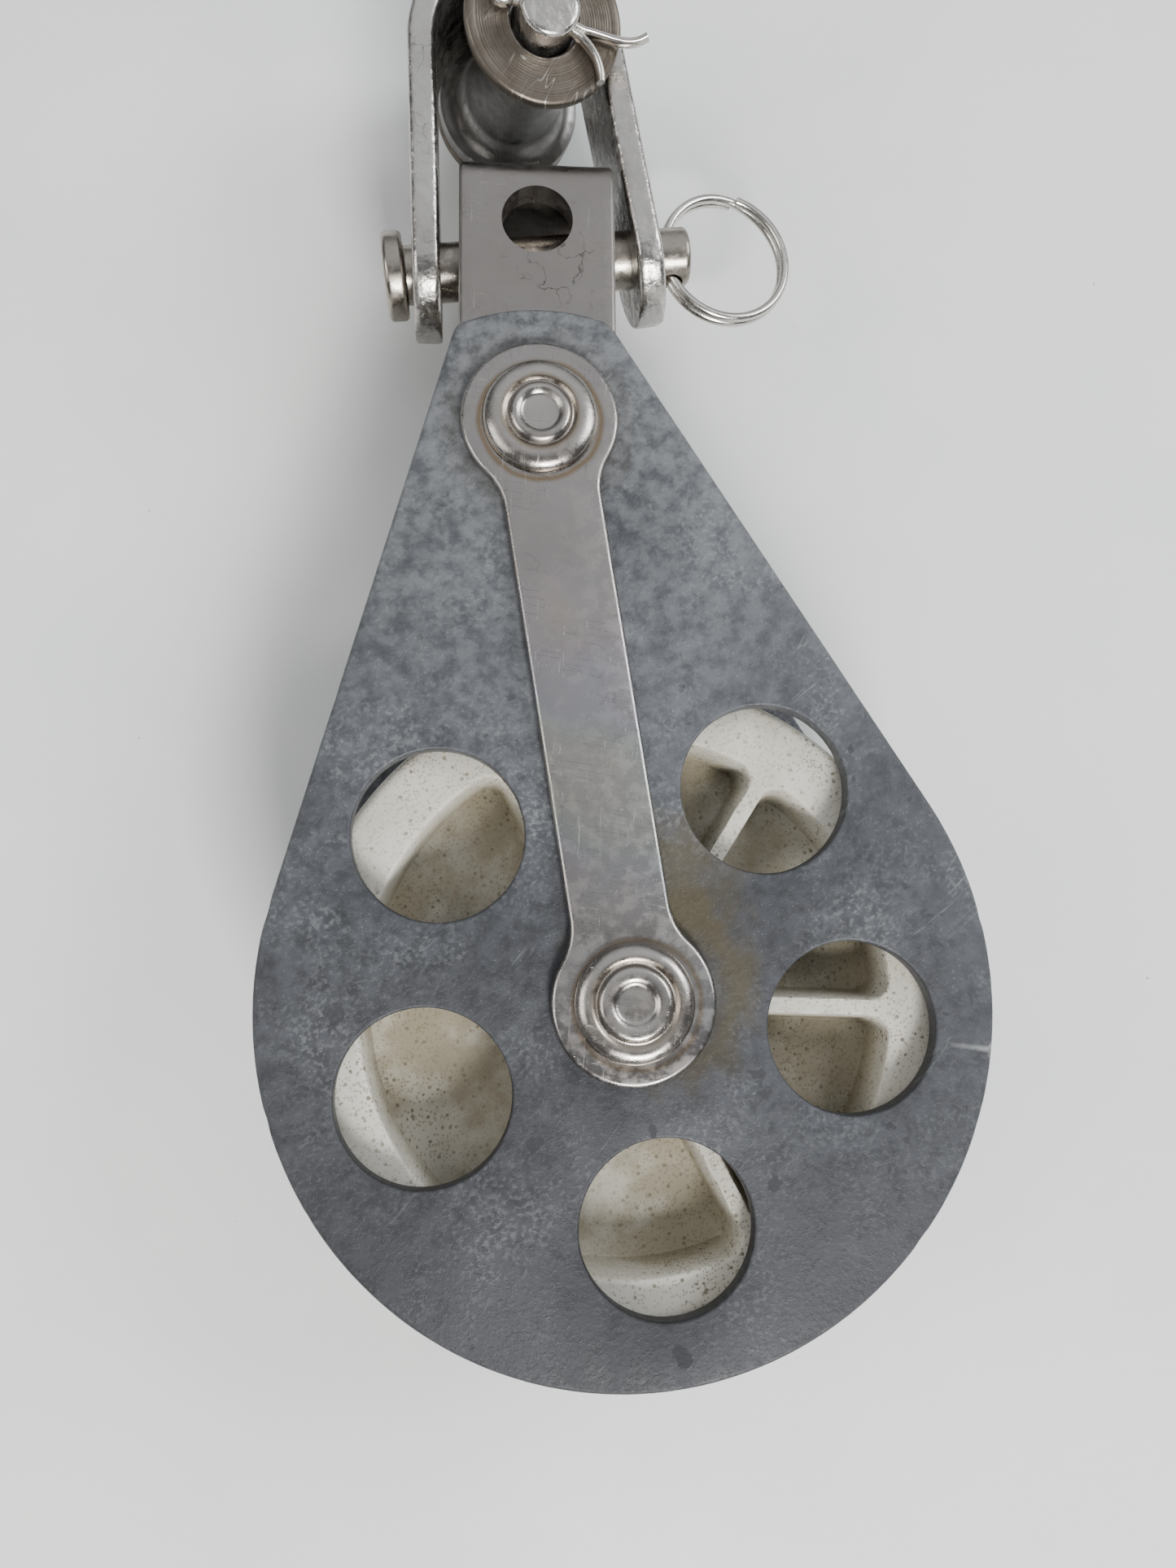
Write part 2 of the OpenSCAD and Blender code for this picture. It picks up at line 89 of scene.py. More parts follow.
class Graph:
    """A small helper that adds and links shader nodes in one node tree."""

    def __init__(self, tree: bpy.types.NodeTree) -> None:
        """Wraps a node tree.

        Args:
            tree: The material's or group's node tree.
        """
        self.tree = tree

    def node(self, kind: str, inputs: Optional[dict] = None, **settings: object) -> bpy.types.Node:
        """Adds a node.

        Args:
            kind: The node's Blender type name.
            inputs: Values or sockets by input name or index.
            **settings: Properties of the node itself.

        Returns:
            The new node.
        """
        made = self.tree.nodes.new(kind)
        for name, value in settings.items():
            setattr(made, name, value)
        for key, value in (inputs or {}).items():
            self.feed(made.inputs[key], value)
        return made

    def feed(self, socket: bpy.types.NodeSocket, value: object) -> None:
        """Links a socket, or sets a constant, on an input.

        Args:
            socket: The input to fill.
            value: An output socket or a constant.
        """
        if isinstance(value, bpy.types.NodeSocket):
            self.tree.links.new(value, socket)
        elif isinstance(value, tuple) and len(value) == 3 and socket.type == "RGBA":
            socket.default_value = (*value, 1.0)
        else:
            socket.default_value = value

    def math(self, operation: str, first: object, second: object = 0.0) -> bpy.types.NodeSocket:
        """Returns the result of one scalar operation."""
        return self.node("ShaderNodeMath", {0: first, 1: second}, operation=operation).outputs[0]

    def vector(self, operation: str, first: object, second: object) -> bpy.types.NodeSocket:
        """Returns the result of one vector operation."""
        return self.node("ShaderNodeVectorMath", {0: first, 1: second}, operation=operation).outputs[0]

    def remap(self, value: object, low: object, high: object) -> bpy.types.NodeSocket:
        """Returns a smooth 0 to 1 step of a value between two limits."""
        step = self.node("ShaderNodeMapRange", {0: value, 1: low, 2: high}, interpolation_type="SMOOTHSTEP")
        return step.outputs[0]

    def mix(self, factor: object, first: object, second: object) -> bpy.types.NodeSocket:
        """Returns a colour mixed from two by a factor."""
        return self.node("ShaderNodeMix", {0: factor, 6: first, 7: second}, data_type="RGBA").outputs[2]

    def blend(self, factor: object, first: object, second: object) -> bpy.types.NodeSocket:
        """Returns a number mixed from two by a factor."""
        return self.node("ShaderNodeMix", {0: factor, 2: first, 3: second}, data_type="FLOAT").outputs[0]

    def noise(self, vector: object, scale: object, detail: float = 3.0,
              rough: float = 0.55) -> bpy.types.NodeSocket:
        """Returns fractal noise around 0.5."""
        inputs = {"Vector": vector, "Scale": scale, "Detail": detail, "Roughness": rough}
        return self.node("ShaderNodeTexNoise", inputs).outputs[0]

    def place(self, group: bpy.types.NodeTree, **inputs: object) -> bpy.types.Node:
        """Adds a group node with its named inputs filled."""
        made = self.tree.nodes.new("ShaderNodeGroup")
        made.node_tree = group
        for name, value in inputs.items():
            self.feed(made.inputs[name.replace("_", " ").title()], value)
        return made


class Effects:
    """Shader node groups that more than one finish uses, each built once."""

    def __init__(self) -> None:
        """Builds every group."""
        self.patches = self._group("Patches", {"Vector": "Vector", "Scale": 60.0, "Low": 0.4, "High": 0.6},
                                   self._patches)
        speckle = {"Vector": "Vector", "Scale": 900.0, "Size": 0.3, "Share": 0.5}
        self.speckle = self._group("Speckle", speckle, self._speckle)
        scratch = {"Vector": "Vector", "Scale": 60.0, "Stretch": 24.0, "Turn": 0.4, "Width": 0.01}
        self.scratches = self._group("Scratches", scratch, self._scratches)
        self.wear = self._group("Edge Wear",
                                {"Vector": "Vector", "Low": 0.505, "High": 0.54, "Scale": 300.0}, self._wear)
        halo = {"Vector": "Vector", "Centre": "Vector", "Radius": 0.01, "Width": 0.004, "Raggedness": 0.5}
        self.halo = self._group("Halo Stain", halo, self._halo)
        self.grain = self._group("Fine Grain", {"Vector": "Vector", "Scale": 2500.0}, self._grain)
        self.crazing = self._group("Crazing", {"Vector": "Vector", "Scale": 150.0, "Width": 0.02},
                                   self._crazing)

    def _group(self, name: str, sockets: dict, build: Callable) -> bpy.types.NodeTree:
        """Makes a group with one Mask output.

        Args:
            name: The group's name.
            sockets: Input names with a default, or "Vector" for a vector input.
            build: Fills the group's graph and returns the mask's socket.

        Returns:
            The finished group.
        """
        tree = bpy.data.node_groups.new(name, "ShaderNodeTree")
        for label, default in sockets.items():
            kind = "NodeSocketVector" if default == "Vector" else "NodeSocketFloat"
            made = tree.interface.new_socket(name=label, in_out="INPUT", socket_type=kind)
            if kind == "NodeSocketFloat":
                made.default_value = default
        tree.interface.new_socket(name="Mask", in_out="OUTPUT", socket_type="NodeSocketFloat")
        graph = Graph(tree)
        source = graph.node("NodeGroupInput")
        mask = build(graph, source.outputs)
        graph.node("NodeGroupOutput", {"Mask": mask})
        return tree

    @staticmethod
    def _patches(g: Graph, given: bpy.types.NodeOutputs) -> bpy.types.NodeSocket:
        """Soft cloudy patches."""
        cloud = g.noise(given["Vector"], given["Scale"], 6.0, 0.62)
        return g.remap(cloud, given["Low"], given["High"])

    @staticmethod
    def _speckle(g: Graph, given: bpy.types.NodeOutputs) -> bpy.types.NodeSocket:
        """Small round specks in a share of the cells."""
        cells = g.node("ShaderNodeTexVoronoi", {"Vector": given["Vector"], "Scale": given["Scale"]})
        dot = g.math("LESS_THAN", cells.outputs["Distance"], given["Size"])
        chance = g.node("ShaderNodeSeparateColor", {0: cells.outputs["Color"]})
        return g.math("MULTIPLY", dot, g.math("LESS_THAN", chance.outputs[0], given["Share"]))

    @staticmethod
    def _scratches(g: Graph, given: bpy.types.NodeOutputs) -> bpy.types.NodeSocket:
        """Long thin lines that run across the surface at an angle."""
        turned = g.node("ShaderNodeVectorRotate", {"Vector": given["Vector"], "Angle": given["Turn"]},
                        rotation_type="Z_AXIS")
        stretch = g.node("ShaderNodeCombineXYZ", {0: given["Stretch"], 1: 1.0, 2: 1.0})
        field_ = g.noise(g.vector("MULTIPLY", turned.outputs[0], stretch.outputs[0]), given["Scale"], 1.5,
                         0.5)
        ridge = g.math("ABSOLUTE", g.math("SUBTRACT", field_, 0.5))
        line = g.math("LESS_THAN", ridge, given["Width"])
        gate = g.remap(g.noise(given["Vector"], 90.0, 2.0), 0.48, 0.6)
        return g.math("MULTIPLY", line, gate)

    @staticmethod
    def _wear(g: Graph, given: bpy.types.NodeOutputs) -> bpy.types.NodeSocket:
        """Bare metal on convex edges, broken up by noise."""
        curved = g.node("ShaderNodeNewGeometry").outputs["Pointiness"]
        edge = g.remap(curved, given["Low"], given["High"])
        return g.math("MULTIPLY", edge, g.remap(g.noise(given["Vector"], given["Scale"], 4.0), 0.35, 0.6))

    @staticmethod
    def _halo(g: Graph, given: bpy.types.NodeOutputs) -> bpy.types.NodeSocket:
        """A ragged ring-shaped stain round a point, strongest at its radius."""
        flat = g.vector("MULTIPLY", g.vector("SUBTRACT", given["Vector"], given["Centre"]), (1.0, 1.0, 0.0))
        reach = g.node("ShaderNodeVectorMath", {0: flat}, operation="LENGTH").outputs["Value"]
        ragged = g.math("MULTIPLY", g.math("SUBTRACT", g.noise(given["Vector"], 220.0, 5.0), 0.5),
                        given["Raggedness"])
        off = g.math("ADD", g.math("SUBTRACT", reach, given["Radius"]),
                     g.math("MULTIPLY", ragged, given["Width"]))
        near = g.math("DIVIDE", g.math("ABSOLUTE", off), given["Width"])
        return g.remap(near, 1.0, 0.0)

    @staticmethod
    def _crazing(g: Graph, given: bpy.types.NodeOutputs) -> bpy.types.NodeSocket:
        """Short wandering cracks that come and go."""
        push = g.node("ShaderNodeTexNoise",
                      {"Vector": given["Vector"], "Scale": 260.0, "Detail": 4.0}).outputs["Color"]
        bent = g.vector("ADD", given["Vector"], g.vector("MULTIPLY", push, (0.006, 0.006, 0.006)))
        cells = g.node("ShaderNodeTexVoronoi", {"Vector": bent, "Scale": given["Scale"]},
                       feature="DISTANCE_TO_EDGE")
        line = g.remap(cells.outputs["Distance"], given["Width"], 0.0)
        return g.math("MULTIPLY", line, g.remap(g.noise(given["Vector"], 110.0, 3.0), 0.5, 0.62))

    @staticmethod
    def _grain(g: Graph, given: bpy.types.NodeOutputs) -> bpy.types.NodeSocket:
        """Very fine surface grain."""
        return g.noise(given["Vector"], given["Scale"], 4.0, 0.7)


@dataclass(frozen=True)
class Shine:
    """Constant settings of a finish's Principled shader."""

    metallic: float = 1.0
    specular: float = 0.5
    coat: float = 0.0
    coat_roughness: float = 0.2
    anisotropic: float = 0.0


class Finish:
    """A material under construction: its graph, its coordinates and its shader."""

    def __init__(self, name: str, effects: Effects, shine: Shine) -> None:
        """Starts a material.

        Args:
            name: The material's name.
            effects: The shared groups.
            shine: Constant shader settings.
        """
        self.material = bpy.data.materials.new(name)
        self.material.use_nodes = True
        self.g = Graph(self.material.node_tree)
        self.fx = effects
        self.shader = self.material.node_tree.nodes["Principled BSDF"]
        self.shader.inputs["Metallic"].default_value = shine.metallic
        self.shader.inputs["Specular IOR Level"].default_value = shine.specular
        self.shader.inputs["Coat Weight"].default_value = shine.coat
        self.shader.inputs["Coat Roughness"].default_value = shine.coat_roughness
        self.shader.inputs["Anisotropic"].default_value = shine.anisotropic
        self.place = self.g.node("ShaderNodeTexCoord").outputs["Object"]

    def mask(self, group: bpy.types.NodeTree, **inputs: object) -> bpy.types.NodeSocket:
        """Returns a shared effect's mask at this finish's coordinates."""
        inputs.setdefault("vector", self.place)
        return self.g.place(group, **inputs).outputs[0]

    def close(self, color: object, rough: object,
              heights: Sequence[tuple[object, float]]) -> bpy.types.Material:
        """Feeds the shader.

        Args:
            color: The base colour's socket.
            rough: The roughness socket.
            heights: Height sockets, each with its depth in metres.

        Returns:
            The finished material.
        """
        self.g.feed(self.shader.inputs["Base Color"], color)
        self.g.feed(self.shader.inputs["Roughness"], rough)
        total: object = None
        deepest = max(depth for _, depth in heights)
        for socket, depth in heights:
            part = self.g.math("MULTIPLY", socket, depth / deepest)
            total = part if total is None else self.g.math("ADD", total, part)
        bump = self.g.node("ShaderNodeBump", {"Height": total, "Distance": deepest, "Strength": 1.0})
        self.g.feed(self.shader.inputs["Normal"], bump.outputs[0])
        return self.material


@dataclass(frozen=True)
class PlateFinish:
    """Weathered blue-grey hard coat on the cheeks, mottled, spotted and with stains round the rivets;
    painted shade darkens it towards the bottom and a painted sheen lightens it towards the top.
    """

    dark: Color = (0.040, 0.042, 0.047)
    light: Color = (0.105, 0.111, 0.124)
    bloom: Color = (0.25, 0.26, 0.27)
    bare: Color = (0.40, 0.41, 0.42)
    stain: Color = (0.085, 0.070, 0.038)
    spot: Color = (0.035, 0.036, 0.04)
    # Painted shade: the colour that the lower part of the cheeks is darkened towards.
    painted_low_shade: Color = (0.026, 0.026, 0.029)

    def build(self, fx: Effects, axle: Vector, rivet: Vector) -> bpy.types.Material:
        """Makes the material.

        Args:
            fx: The shared groups.
            axle: The axle rivet's centre.
            rivet: The head rivet's centre.

        Returns:
            The material.
        """
        f = Finish("weathered_plate", fx, Shine(metallic=0.35, specular=0.35))
        g = f.g
        broad = f.mask(fx.patches, scale=28.0, low=0.34, high=0.66)
        fine = f.mask(fx.patches, scale=340.0, low=0.34, high=0.66)
        dust = f.mask(fx.patches, scale=1300.0, low=0.46, high=0.66)
        amount = g.math("ADD", g.math("MULTIPLY", broad, 0.45), g.math("MULTIPLY", fine, 0.45))
        color = g.mix(amount, self.dark, self.light)
        bloom = f.mask(fx.patches, scale=60.0, low=0.42, high=0.72)
        color = g.mix(g.math("MULTIPLY", g.math("MULTIPLY", bloom, dust), 0.6), color, self.bloom)
        chalk = f.mask(fx.speckle, scale=1700.0, size=0.24, share=0.35)
        color = g.mix(g.math("MULTIPLY", chalk, g.math("MULTIPLY", fine, 0.35)), color, self.bloom)
        smudge = f.mask(fx.patches, scale=110.0, low=0.60, high=0.70)
        color = g.mix(g.math("MULTIPLY", smudge, 0.6), color, self.spot)
        spots = f.mask(fx.speckle, vector=self._warp(f), scale=120.0, size=0.16, share=0.16)
        color = g.mix(g.math("MULTIPLY", spots, 0.5), color, self.spot)
        pits = f.mask(fx.speckle, vector=self._warp(f), scale=420.0, size=0.2, share=0.1)
        color = g.mix(g.math("MULTIPLY", pits, 0.6), color, self.spot)
        for centre, radius, width, amount in (
            (axle + Vector((0.0045, 0.0015, 0.0)), 0.0115, 0.0055, 0.8), (rivet, 0.0130, 0.0035, 0.25),
            (axle + Vector((0.0075, 0.0150, 0.0)), 0.004, 0.011, 0.7),
        ):
            halo = f.mask(fx.halo, centre=centre, radius=radius, width=width, raggedness=1.6)
            color = g.mix(g.math("MULTIPLY", halo, amount), color, self.stain)
        lines = f.mask(fx.scratches, scale=24.0, stretch=16.0, turn=0.9, width=0.004)
        color = g.mix(g.math("MULTIPLY", lines, 0.35), color, self.bloom)
        along = g.node("ShaderNodeSeparateXYZ", {0: f.place}).outputs[1]
        ragged = g.math("ADD", along, g.math("MULTIPLY", g.math("SUBTRACT", broad, 0.5), 0.02))
        # Painted shade: the plate is darkened towards the bottom, standing in for the dark reflection there;
        # the broad patches make its edge ragged.
        painted_low_shade = g.math("SUBTRACT", 1.0, g.remap(ragged, axle.y - 0.062, axle.y + 0.045))
        color = g.mix(g.math("MULTIPLY", painted_low_shade, 0.72), color, self.painted_low_shade)
        # Painted sheen: the plate is lightened towards the head rivet at the top, standing in for a bright
        # reflection.
        pale = g.remap(ragged, axle.y + 0.035, rivet.y)
        color = g.mix(g.math("MULTIPLY", pale, g.math("ADD", 0.12, g.math("MULTIPLY", fine, 0.4))), color,
                      self.bloom)
        wear = f.mask(fx.wear, low=0.52, high=0.60, scale=500.0)
        color = g.mix(g.math("MULTIPLY", wear, 0.55), color, self.bare)
        rough = g.blend(fine, 0.42, 0.58)
        rough = g.blend(spots, rough, 0.7)
        grain = f.mask(fx.grain, scale=2200.0)
        return f.close(color, rough,
                       [(grain, 0.00006), (dust, 0.00003), (g.math("MULTIPLY", lines, -1.0), 0.00003),
                                      (g.math("MULTIPLY", spots, -1.0), 0.00003)])

    @staticmethod
    def _warp(f: Finish) -> bpy.types.NodeSocket:
        """Coordinates pushed about, so that spots lose their round outline."""
        g = f.g
        push = g.node("ShaderNodeTexNoise",
                      {"Vector": f.place, "Scale": 400.0, "Detail": 3.0}).outputs["Color"]
        return g.vector("ADD", f.place, g.vector("MULTIPLY", push, (0.003, 0.003, 0.003)))


@dataclass(frozen=True)
class SteelFinish:
    """Worn stainless steel: a base tone, brown crevice stain, brushing, scratches and a faint heat tint."""

    name: str
    tone: Color = (0.40, 0.375, 0.355)
    shade: Color = (0.29, 0.27, 0.25)
    stain: Color = (0.20, 0.14, 0.075)
    stain_amount: float = 0.25
    rough_low: float = 0.22
    rough_high: float = 0.40
    scratch_amount: float = 0.5
    pebble: float = 0.0
    pebble_scale: float = 900.0
    tint: float = 0.0
    brush: float = 0.4
    crazing: float = 0.25

    def build(self, fx: Effects,
              halos: Sequence[tuple[Vector, float, float, float]] = ()) -> bpy.types.Material:
        """Makes the material.

        Args:
            fx: The shared groups.
            halos: Crevice stains, each a centre, radius, width and amount.

        Returns:
            The material.
        """
        f = Finish(self.name, fx, Shine(metallic=1.0))
        g = f.g
        broad = f.mask(fx.patches, scale=55.0, low=0.36, high=0.64)
        fine = f.mask(fx.patches, scale=420.0, low=0.4, high=0.62)
        color = g.mix(g.math("ADD", g.math("MULTIPLY", broad, 0.5), g.math("MULTIPLY", fine, 0.16)),
                      self.tone, self.shade)
        if self.tint:
            hue = g.node("ShaderNodeValToRGB", {0: g.noise(f.place, 45.0, 1.0)})
            self._heat_colors(hue.color_ramp)
            where = f.mask(fx.patches, scale=30.0, low=0.46, high=0.62)
            color = g.mix(g.math("MULTIPLY", where, self.tint), color, hue.outputs[0])
        stains = f.mask(fx.patches, scale=130.0, low=0.54, high=0.78)
        color = g.mix(g.math("MULTIPLY", stains, self.stain_amount), color, self.stain)
        for centre, radius, width, amount in halos:
            halo = f.mask(fx.halo, centre=centre, radius=radius, width=width, raggedness=1.1)
            color = g.mix(g.math("MULTIPLY", halo, amount), color, self.stain)
        long_lines = f.mask(fx.scratches, scale=40.0, stretch=22.0, turn=0.2, width=0.006)
        cross_lines = f.mask(fx.scratches, scale=55.0, stretch=14.0, turn=1.9, width=0.005)
        lines = g.math("MAXIMUM", long_lines, cross_lines)
        color = g.mix(g.math("MULTIPLY", lines, 0.3 * self.scratch_amount), color, (0.75, 0.74, 0.72))
        dots = f.mask(fx.speckle, scale=700.0, size=0.16, share=0.12)
        color = g.mix(g.math("MULTIPLY", dots, 0.5), color, self.shade)
        cracks = f.mask(fx.crazing, scale=150.0, width=0.02)
        color = g.mix(g.math("MULTIPLY", cracks, self.crazing), color, (0.05, 0.045, 0.04))
        rough = g.blend(g.math("MAXIMUM", fine, stains), self.rough_low, self.rough_high)
        rough = g.blend(g.math("MULTIPLY", lines, self.scratch_amount), rough, self.rough_high + 0.15)
        heights = [(f.mask(fx.grain, scale=3200.0), 0.00002), (g.math("MULTIPLY", lines, -1.0), 0.00002)]
        if self.brush:
            along = g.noise(g.vector("MULTIPLY", f.place, (1.0, 0.06, 1.0)), 5200.0, 2.0)
            heights.append((along, 0.00001 * self.brush))
        if self.pebble:
            heights.append((g.noise(f.place, self.pebble_scale, 2.0, 0.5), self.pebble))
        return f.close(color, rough, heights)

    @staticmethod
    def _heat_colors(ramp: bpy.types.ColorRamp) -> None:
        """Straw, purple, blue and green bands of thin oxide on steel."""
        bands = ((0.30, (0.52, 0.45, 0.34)), (0.44, (0.42, 0.33, 0.40)), (0.52, (0.32, 0.36, 0.48)),
                 (0.60, (0.34, 0.45, 0.41)), (0.70, (0.50, 0.48, 0.42)))
        ramp.elements[0].position = bands[0][0]
        ramp.elements[0].color = (*bands[0][1], 1.0)
        ramp.elements[1].position = bands[-1][0]
        ramp.elements[1].color = (*bands[-1][1], 1.0)
        for position, tone in bands[1:-1]:
            ramp.elements.new(position).color = (*tone, 1.0)


@dataclass(frozen=True)
class TurnedFinish:
    """Aged steel with the circular marks of a lathe round an axis."""

    name: str
    tone: Color = (0.125, 0.107, 0.088)
    grime: Color = (0.045, 0.034, 0.024)
    rough: float = 0.34

    def build(self, fx: Effects, centre: Vector, axis: Vector) -> bpy.types.Material:
        """Makes the material.

        Args:
            fx: The shared groups.
            centre: A point on the lathe's axis.
            axis: The axis' direction.

        Returns:
            The material.
        """
        f = Finish(self.name, fx, Shine(metallic=0.95))
        g = f.g
        away = g.vector("SUBTRACT", f.place, tuple(centre))
        spread = g.node("ShaderNodeVectorMath", {0: away, 1: tuple(axis)},
                        operation="CROSS_PRODUCT").outputs[0]
        reach = g.node("ShaderNodeVectorMath", {0: spread}, operation="LENGTH").outputs["Value"]
        ring = g.node("ShaderNodeCombineXYZ", {0: g.math("MULTIPLY", reach, 1.0)}).outputs[0]
        marks = g.noise(ring, 4200.0, 3.0, 0.7)
        dirt = f.mask(fx.patches, scale=210.0, low=0.36, high=0.7)
        color = g.mix(g.math("MULTIPLY", dirt, 0.8), self.tone, self.grime)
        color = g.mix(g.math("MULTIPLY", g.remap(marks, 0.35, 0.65), 0.2), color, (0.42, 0.38, 0.33))
        nicks = f.mask(fx.scratches, scale=70.0, stretch=9.0, turn=0.7, width=0.008)
        color = g.mix(g.math("MULTIPLY", nicks, 0.4), color, (0.62, 0.6, 0.56))
        wear = f.mask(fx.wear, low=0.52, high=0.58, scale=700.0)
        color = g.mix(g.math("MULTIPLY", wear, 0.7), color, (0.72, 0.69, 0.64))
        rough = g.blend(dirt, self.rough, self.rough + 0.2)
        return f.close(color, rough, [(marks, 0.00005), (f.mask(fx.grain, scale=2600.0), 0.00003),
                                      (g.math("MULTIPLY", nicks, -1.0), 0.00003)])


@dataclass(frozen=True)
class PlasticFinish:
    """Old cream moulded plastic: yellowed patches, dark specks, and pocket floors darkened partly by real
    grime and partly by painted shade.
    """

    fresh: Color = (0.62, 0.60, 0.53)
    aged: Color = (0.36, 0.33, 0.25)
    # Colour of the pocket floors: partly real grime, partly painted shade.
    floor: Color = (0.27, 0.235, 0.16)
    grime: Color = (0.14, 0.115, 0.07)

    def build(self, fx: Effects, floor_z: float, rim_z: float) -> bpy.types.Material:
        """Makes the material.

        Args:
            fx: The shared groups.
            floor_z: Height of the pockets' floor above the sheave's middle.
            rim_z: Height of the rim's side face.

        Returns:
            The material.
        """
        f = Finish("aged_cream_plastic", fx, Shine(metallic=0.0, specular=0.45))
        g = f.g
        parts = g.node("ShaderNodeSeparateXYZ", {0: f.place})
        height = g.math("ABSOLUTE", parts.outputs[2])
        # Painted shade with real grime: darker towards the pocket floors, its strength varied by soft
        # patches.
        pocket_stain_and_shade = g.remap(height, rim_z - 0.0015, floor_z)
        cloud = f.mask(fx.patches, scale=42.0, low=0.35, high=0.68)
        color = g.mix(g.math("MULTIPLY", cloud, 0.5), self.fresh, self.aged)
        floor_stain_and_shade_strength = g.math("ADD", 0.45,
                         g.math("MULTIPLY", f.mask(fx.patches, scale=85.0, low=0.35, high=0.6), 0.5))
        color = g.mix(g.math("MULTIPLY", pocket_stain_and_shade, floor_stain_and_shade_strength), color, self.floor)
        fine_specks = f.mask(fx.speckle, scale=2100.0, size=0.42, share=0.5)
        specks = f.mask(fx.speckle, scale=950.0, size=0.28, share=0.32)
        gather = g.math("ADD", 0.4,
                        g.math("MULTIPLY", f.mask(fx.patches, scale=60.0, low=0.4, high=0.62), 0.6))
        color = g.mix(g.math("MULTIPLY", fine_specks, g.math("MULTIPLY", gather, 0.55)), color, self.grime)
        color = g.mix(g.math("MULTIPLY", specks, g.math("MULTIPLY", gather, 0.9)), color, self.grime)
        lines = f.mask(fx.scratches, scale=45.0, stretch=12.0, turn=1.1, width=0.005)
        color = g.mix(g.math("MULTIPLY", lines, 0.3), color, self.grime)
        rough = g.blend(cloud, 0.42, 0.58)
        return f.close(color, rough, [(f.mask(fx.grain, scale=1700.0), 0.00005), (specks, 0.00002)])


@dataclass(frozen=True)
class BronzeFinish:
    """Dull bearing bronze of the hidden bush and thrust washers."""

    tone: Color = (0.50, 0.36, 0.18)
    dark: Color = (0.22, 0.15, 0.08)

    def build(self, fx: Effects) -> bpy.types.Material:
        """Makes the material."""
        f = Finish("bearing_bronze", fx, Shine(metallic=1.0))
        g = f.g
        patches = f.mask(fx.patches, scale=260.0, low=0.38, high=0.66)
        color = g.mix(patches, self.tone, self.dark)
        lines = f.mask(fx.scratches, scale=80.0, stretch=10.0, turn=0.3, width=0.01)
        color = g.mix(g.math("MULTIPLY", lines, 0.4), color, (0.66, 0.52, 0.3))
        return f.close(color, g.blend(patches, 0.3, 0.5),
                       [(f.mask(fx.grain, scale=2400.0), 0.00003), (lines, 0.00002)])


@dataclass(frozen=True)
class TableFinish:
    """Off-white painted table top with faint specks."""

    tone: Color = (0.80, 0.81, 0.795)
    cool: Color = (0.72, 0.74, 0.74)

    def build(self, fx: Effects) -> bpy.types.Material:
        """Makes the material."""
        f = Finish("pale_table", fx, Shine(metallic=0.0, specular=0.35))
        g = f.g
        cloud = f.mask(fx.patches, scale=9.0, low=0.3, high=0.7)
        color = g.mix(cloud, self.tone, self.cool)
        specks = f.mask(fx.speckle, scale=160.0, size=0.05, share=0.08)
        color = g.mix(g.math("MULTIPLY", specks, 0.6), color, (0.25, 0.25, 0.24))
        return f.close(color, g.blend(cloud, 0.42, 0.52), [(f.mask(fx.grain, scale=900.0), 0.00004)])


# ---------------------------------------------------------------- mesh building


def new_object(name: str, bm: bmesh.types.BMesh, smooth_angle: float = 35.0) -> bpy.types.Object:
    """Turns a bmesh into a linked object with smooth shading below an angle.

    Args:
        name: The object's name.
        bm: The mesh; it is freed.
        smooth_angle: Edges sharper than this many degrees stay sharp.

    Returns:
        The object.
    """
    bmesh.ops.recalc_face_normals(bm, faces=bm.faces)
    limit = math.radians(smooth_angle)
    for edge in bm.edges:
        edge.smooth = len(edge.link_faces) == 2 and edge.calc_face_angle(0.0) < limit
    for face in bm.faces:
        face.smooth = True
    mesh = bpy.data.meshes.new(name)
    bm.to_mesh(mesh)
    bm.free()
    made = bpy.data.objects.new(name, mesh)
    bpy.context.scene.collection.objects.link(made)
    return made


def bridge_rings(bm: bmesh.types.BMesh, rings: Sequence[Sequence[bmesh.types.BMVert]], closed: bool) -> None:
    """Joins successive rings of vertices with quads.

    Args:
        bm: The mesh.
        rings: Rings of equal length.
        closed: Whether the last ring joins the first.
    """
    count = len(rings)
    for k in range(count if closed else count - 1):
        near, far = rings[k], rings[(k + 1) % count]
        size = len(near)
        for i in range(size):
            j = (i + 1) % size
            bm.faces.new((near[i], near[j], far[j], far[i]))


def arc(centre: Point2, radius: float, start: float, end: float, steps: int) -> list[Point2]:
    """Points along an arc, its ends included.

    Args:
        centre: The arc's centre.
        radius: Its radius.
        start: First angle in degrees.
        end: Last angle in degrees.
        steps: Number of intervals.

    Returns:
        The points.
    """
    points = []
    for k in range(steps + 1):
        turn = math.radians(start + (end - start) * k / steps)
        points.append((centre[0] + radius * math.cos(turn), centre[1] + radius * math.sin(turn)))
    return points


def resample(loop: Sequence[Point2], spacing: float) -> list[Point2]:
    """Spreads points evenly along a closed outline.

    Args:
        loop: The outline.
        spacing: Wanted distance between points.

    Returns:
        The new outline.
    """
    closed = [Vector(p) for p in loop] + [Vector(loop[0])]
    lengths = [(closed[k + 1] - closed[k]).length for k in range(len(closed) - 1)]
    total = sum(lengths)
    count = max(12, round(total / spacing))
    points, piece, done = [], 0, 0.0
    for k in range(count):
        want = total * k / count
        while done + lengths[piece] < want:
            done += lengths[piece]
            piece += 1
        part = (want - done) / lengths[piece] if lengths[piece] else 0.0
        spot = closed[piece].lerp(closed[piece + 1], part)
        points.append((spot.x, spot.y))
    return points


def rock(point: Vector, size: float, scale: float) -> float:
    """Seeded noise for small dents, between about -size and +size.

    Args:
        point: Where, in metres.
        size: Height of the dents in metres.
        scale: Dents per metre.

    Returns:
        The height in metres.
    """
    return size * noise.noise(point * scale)


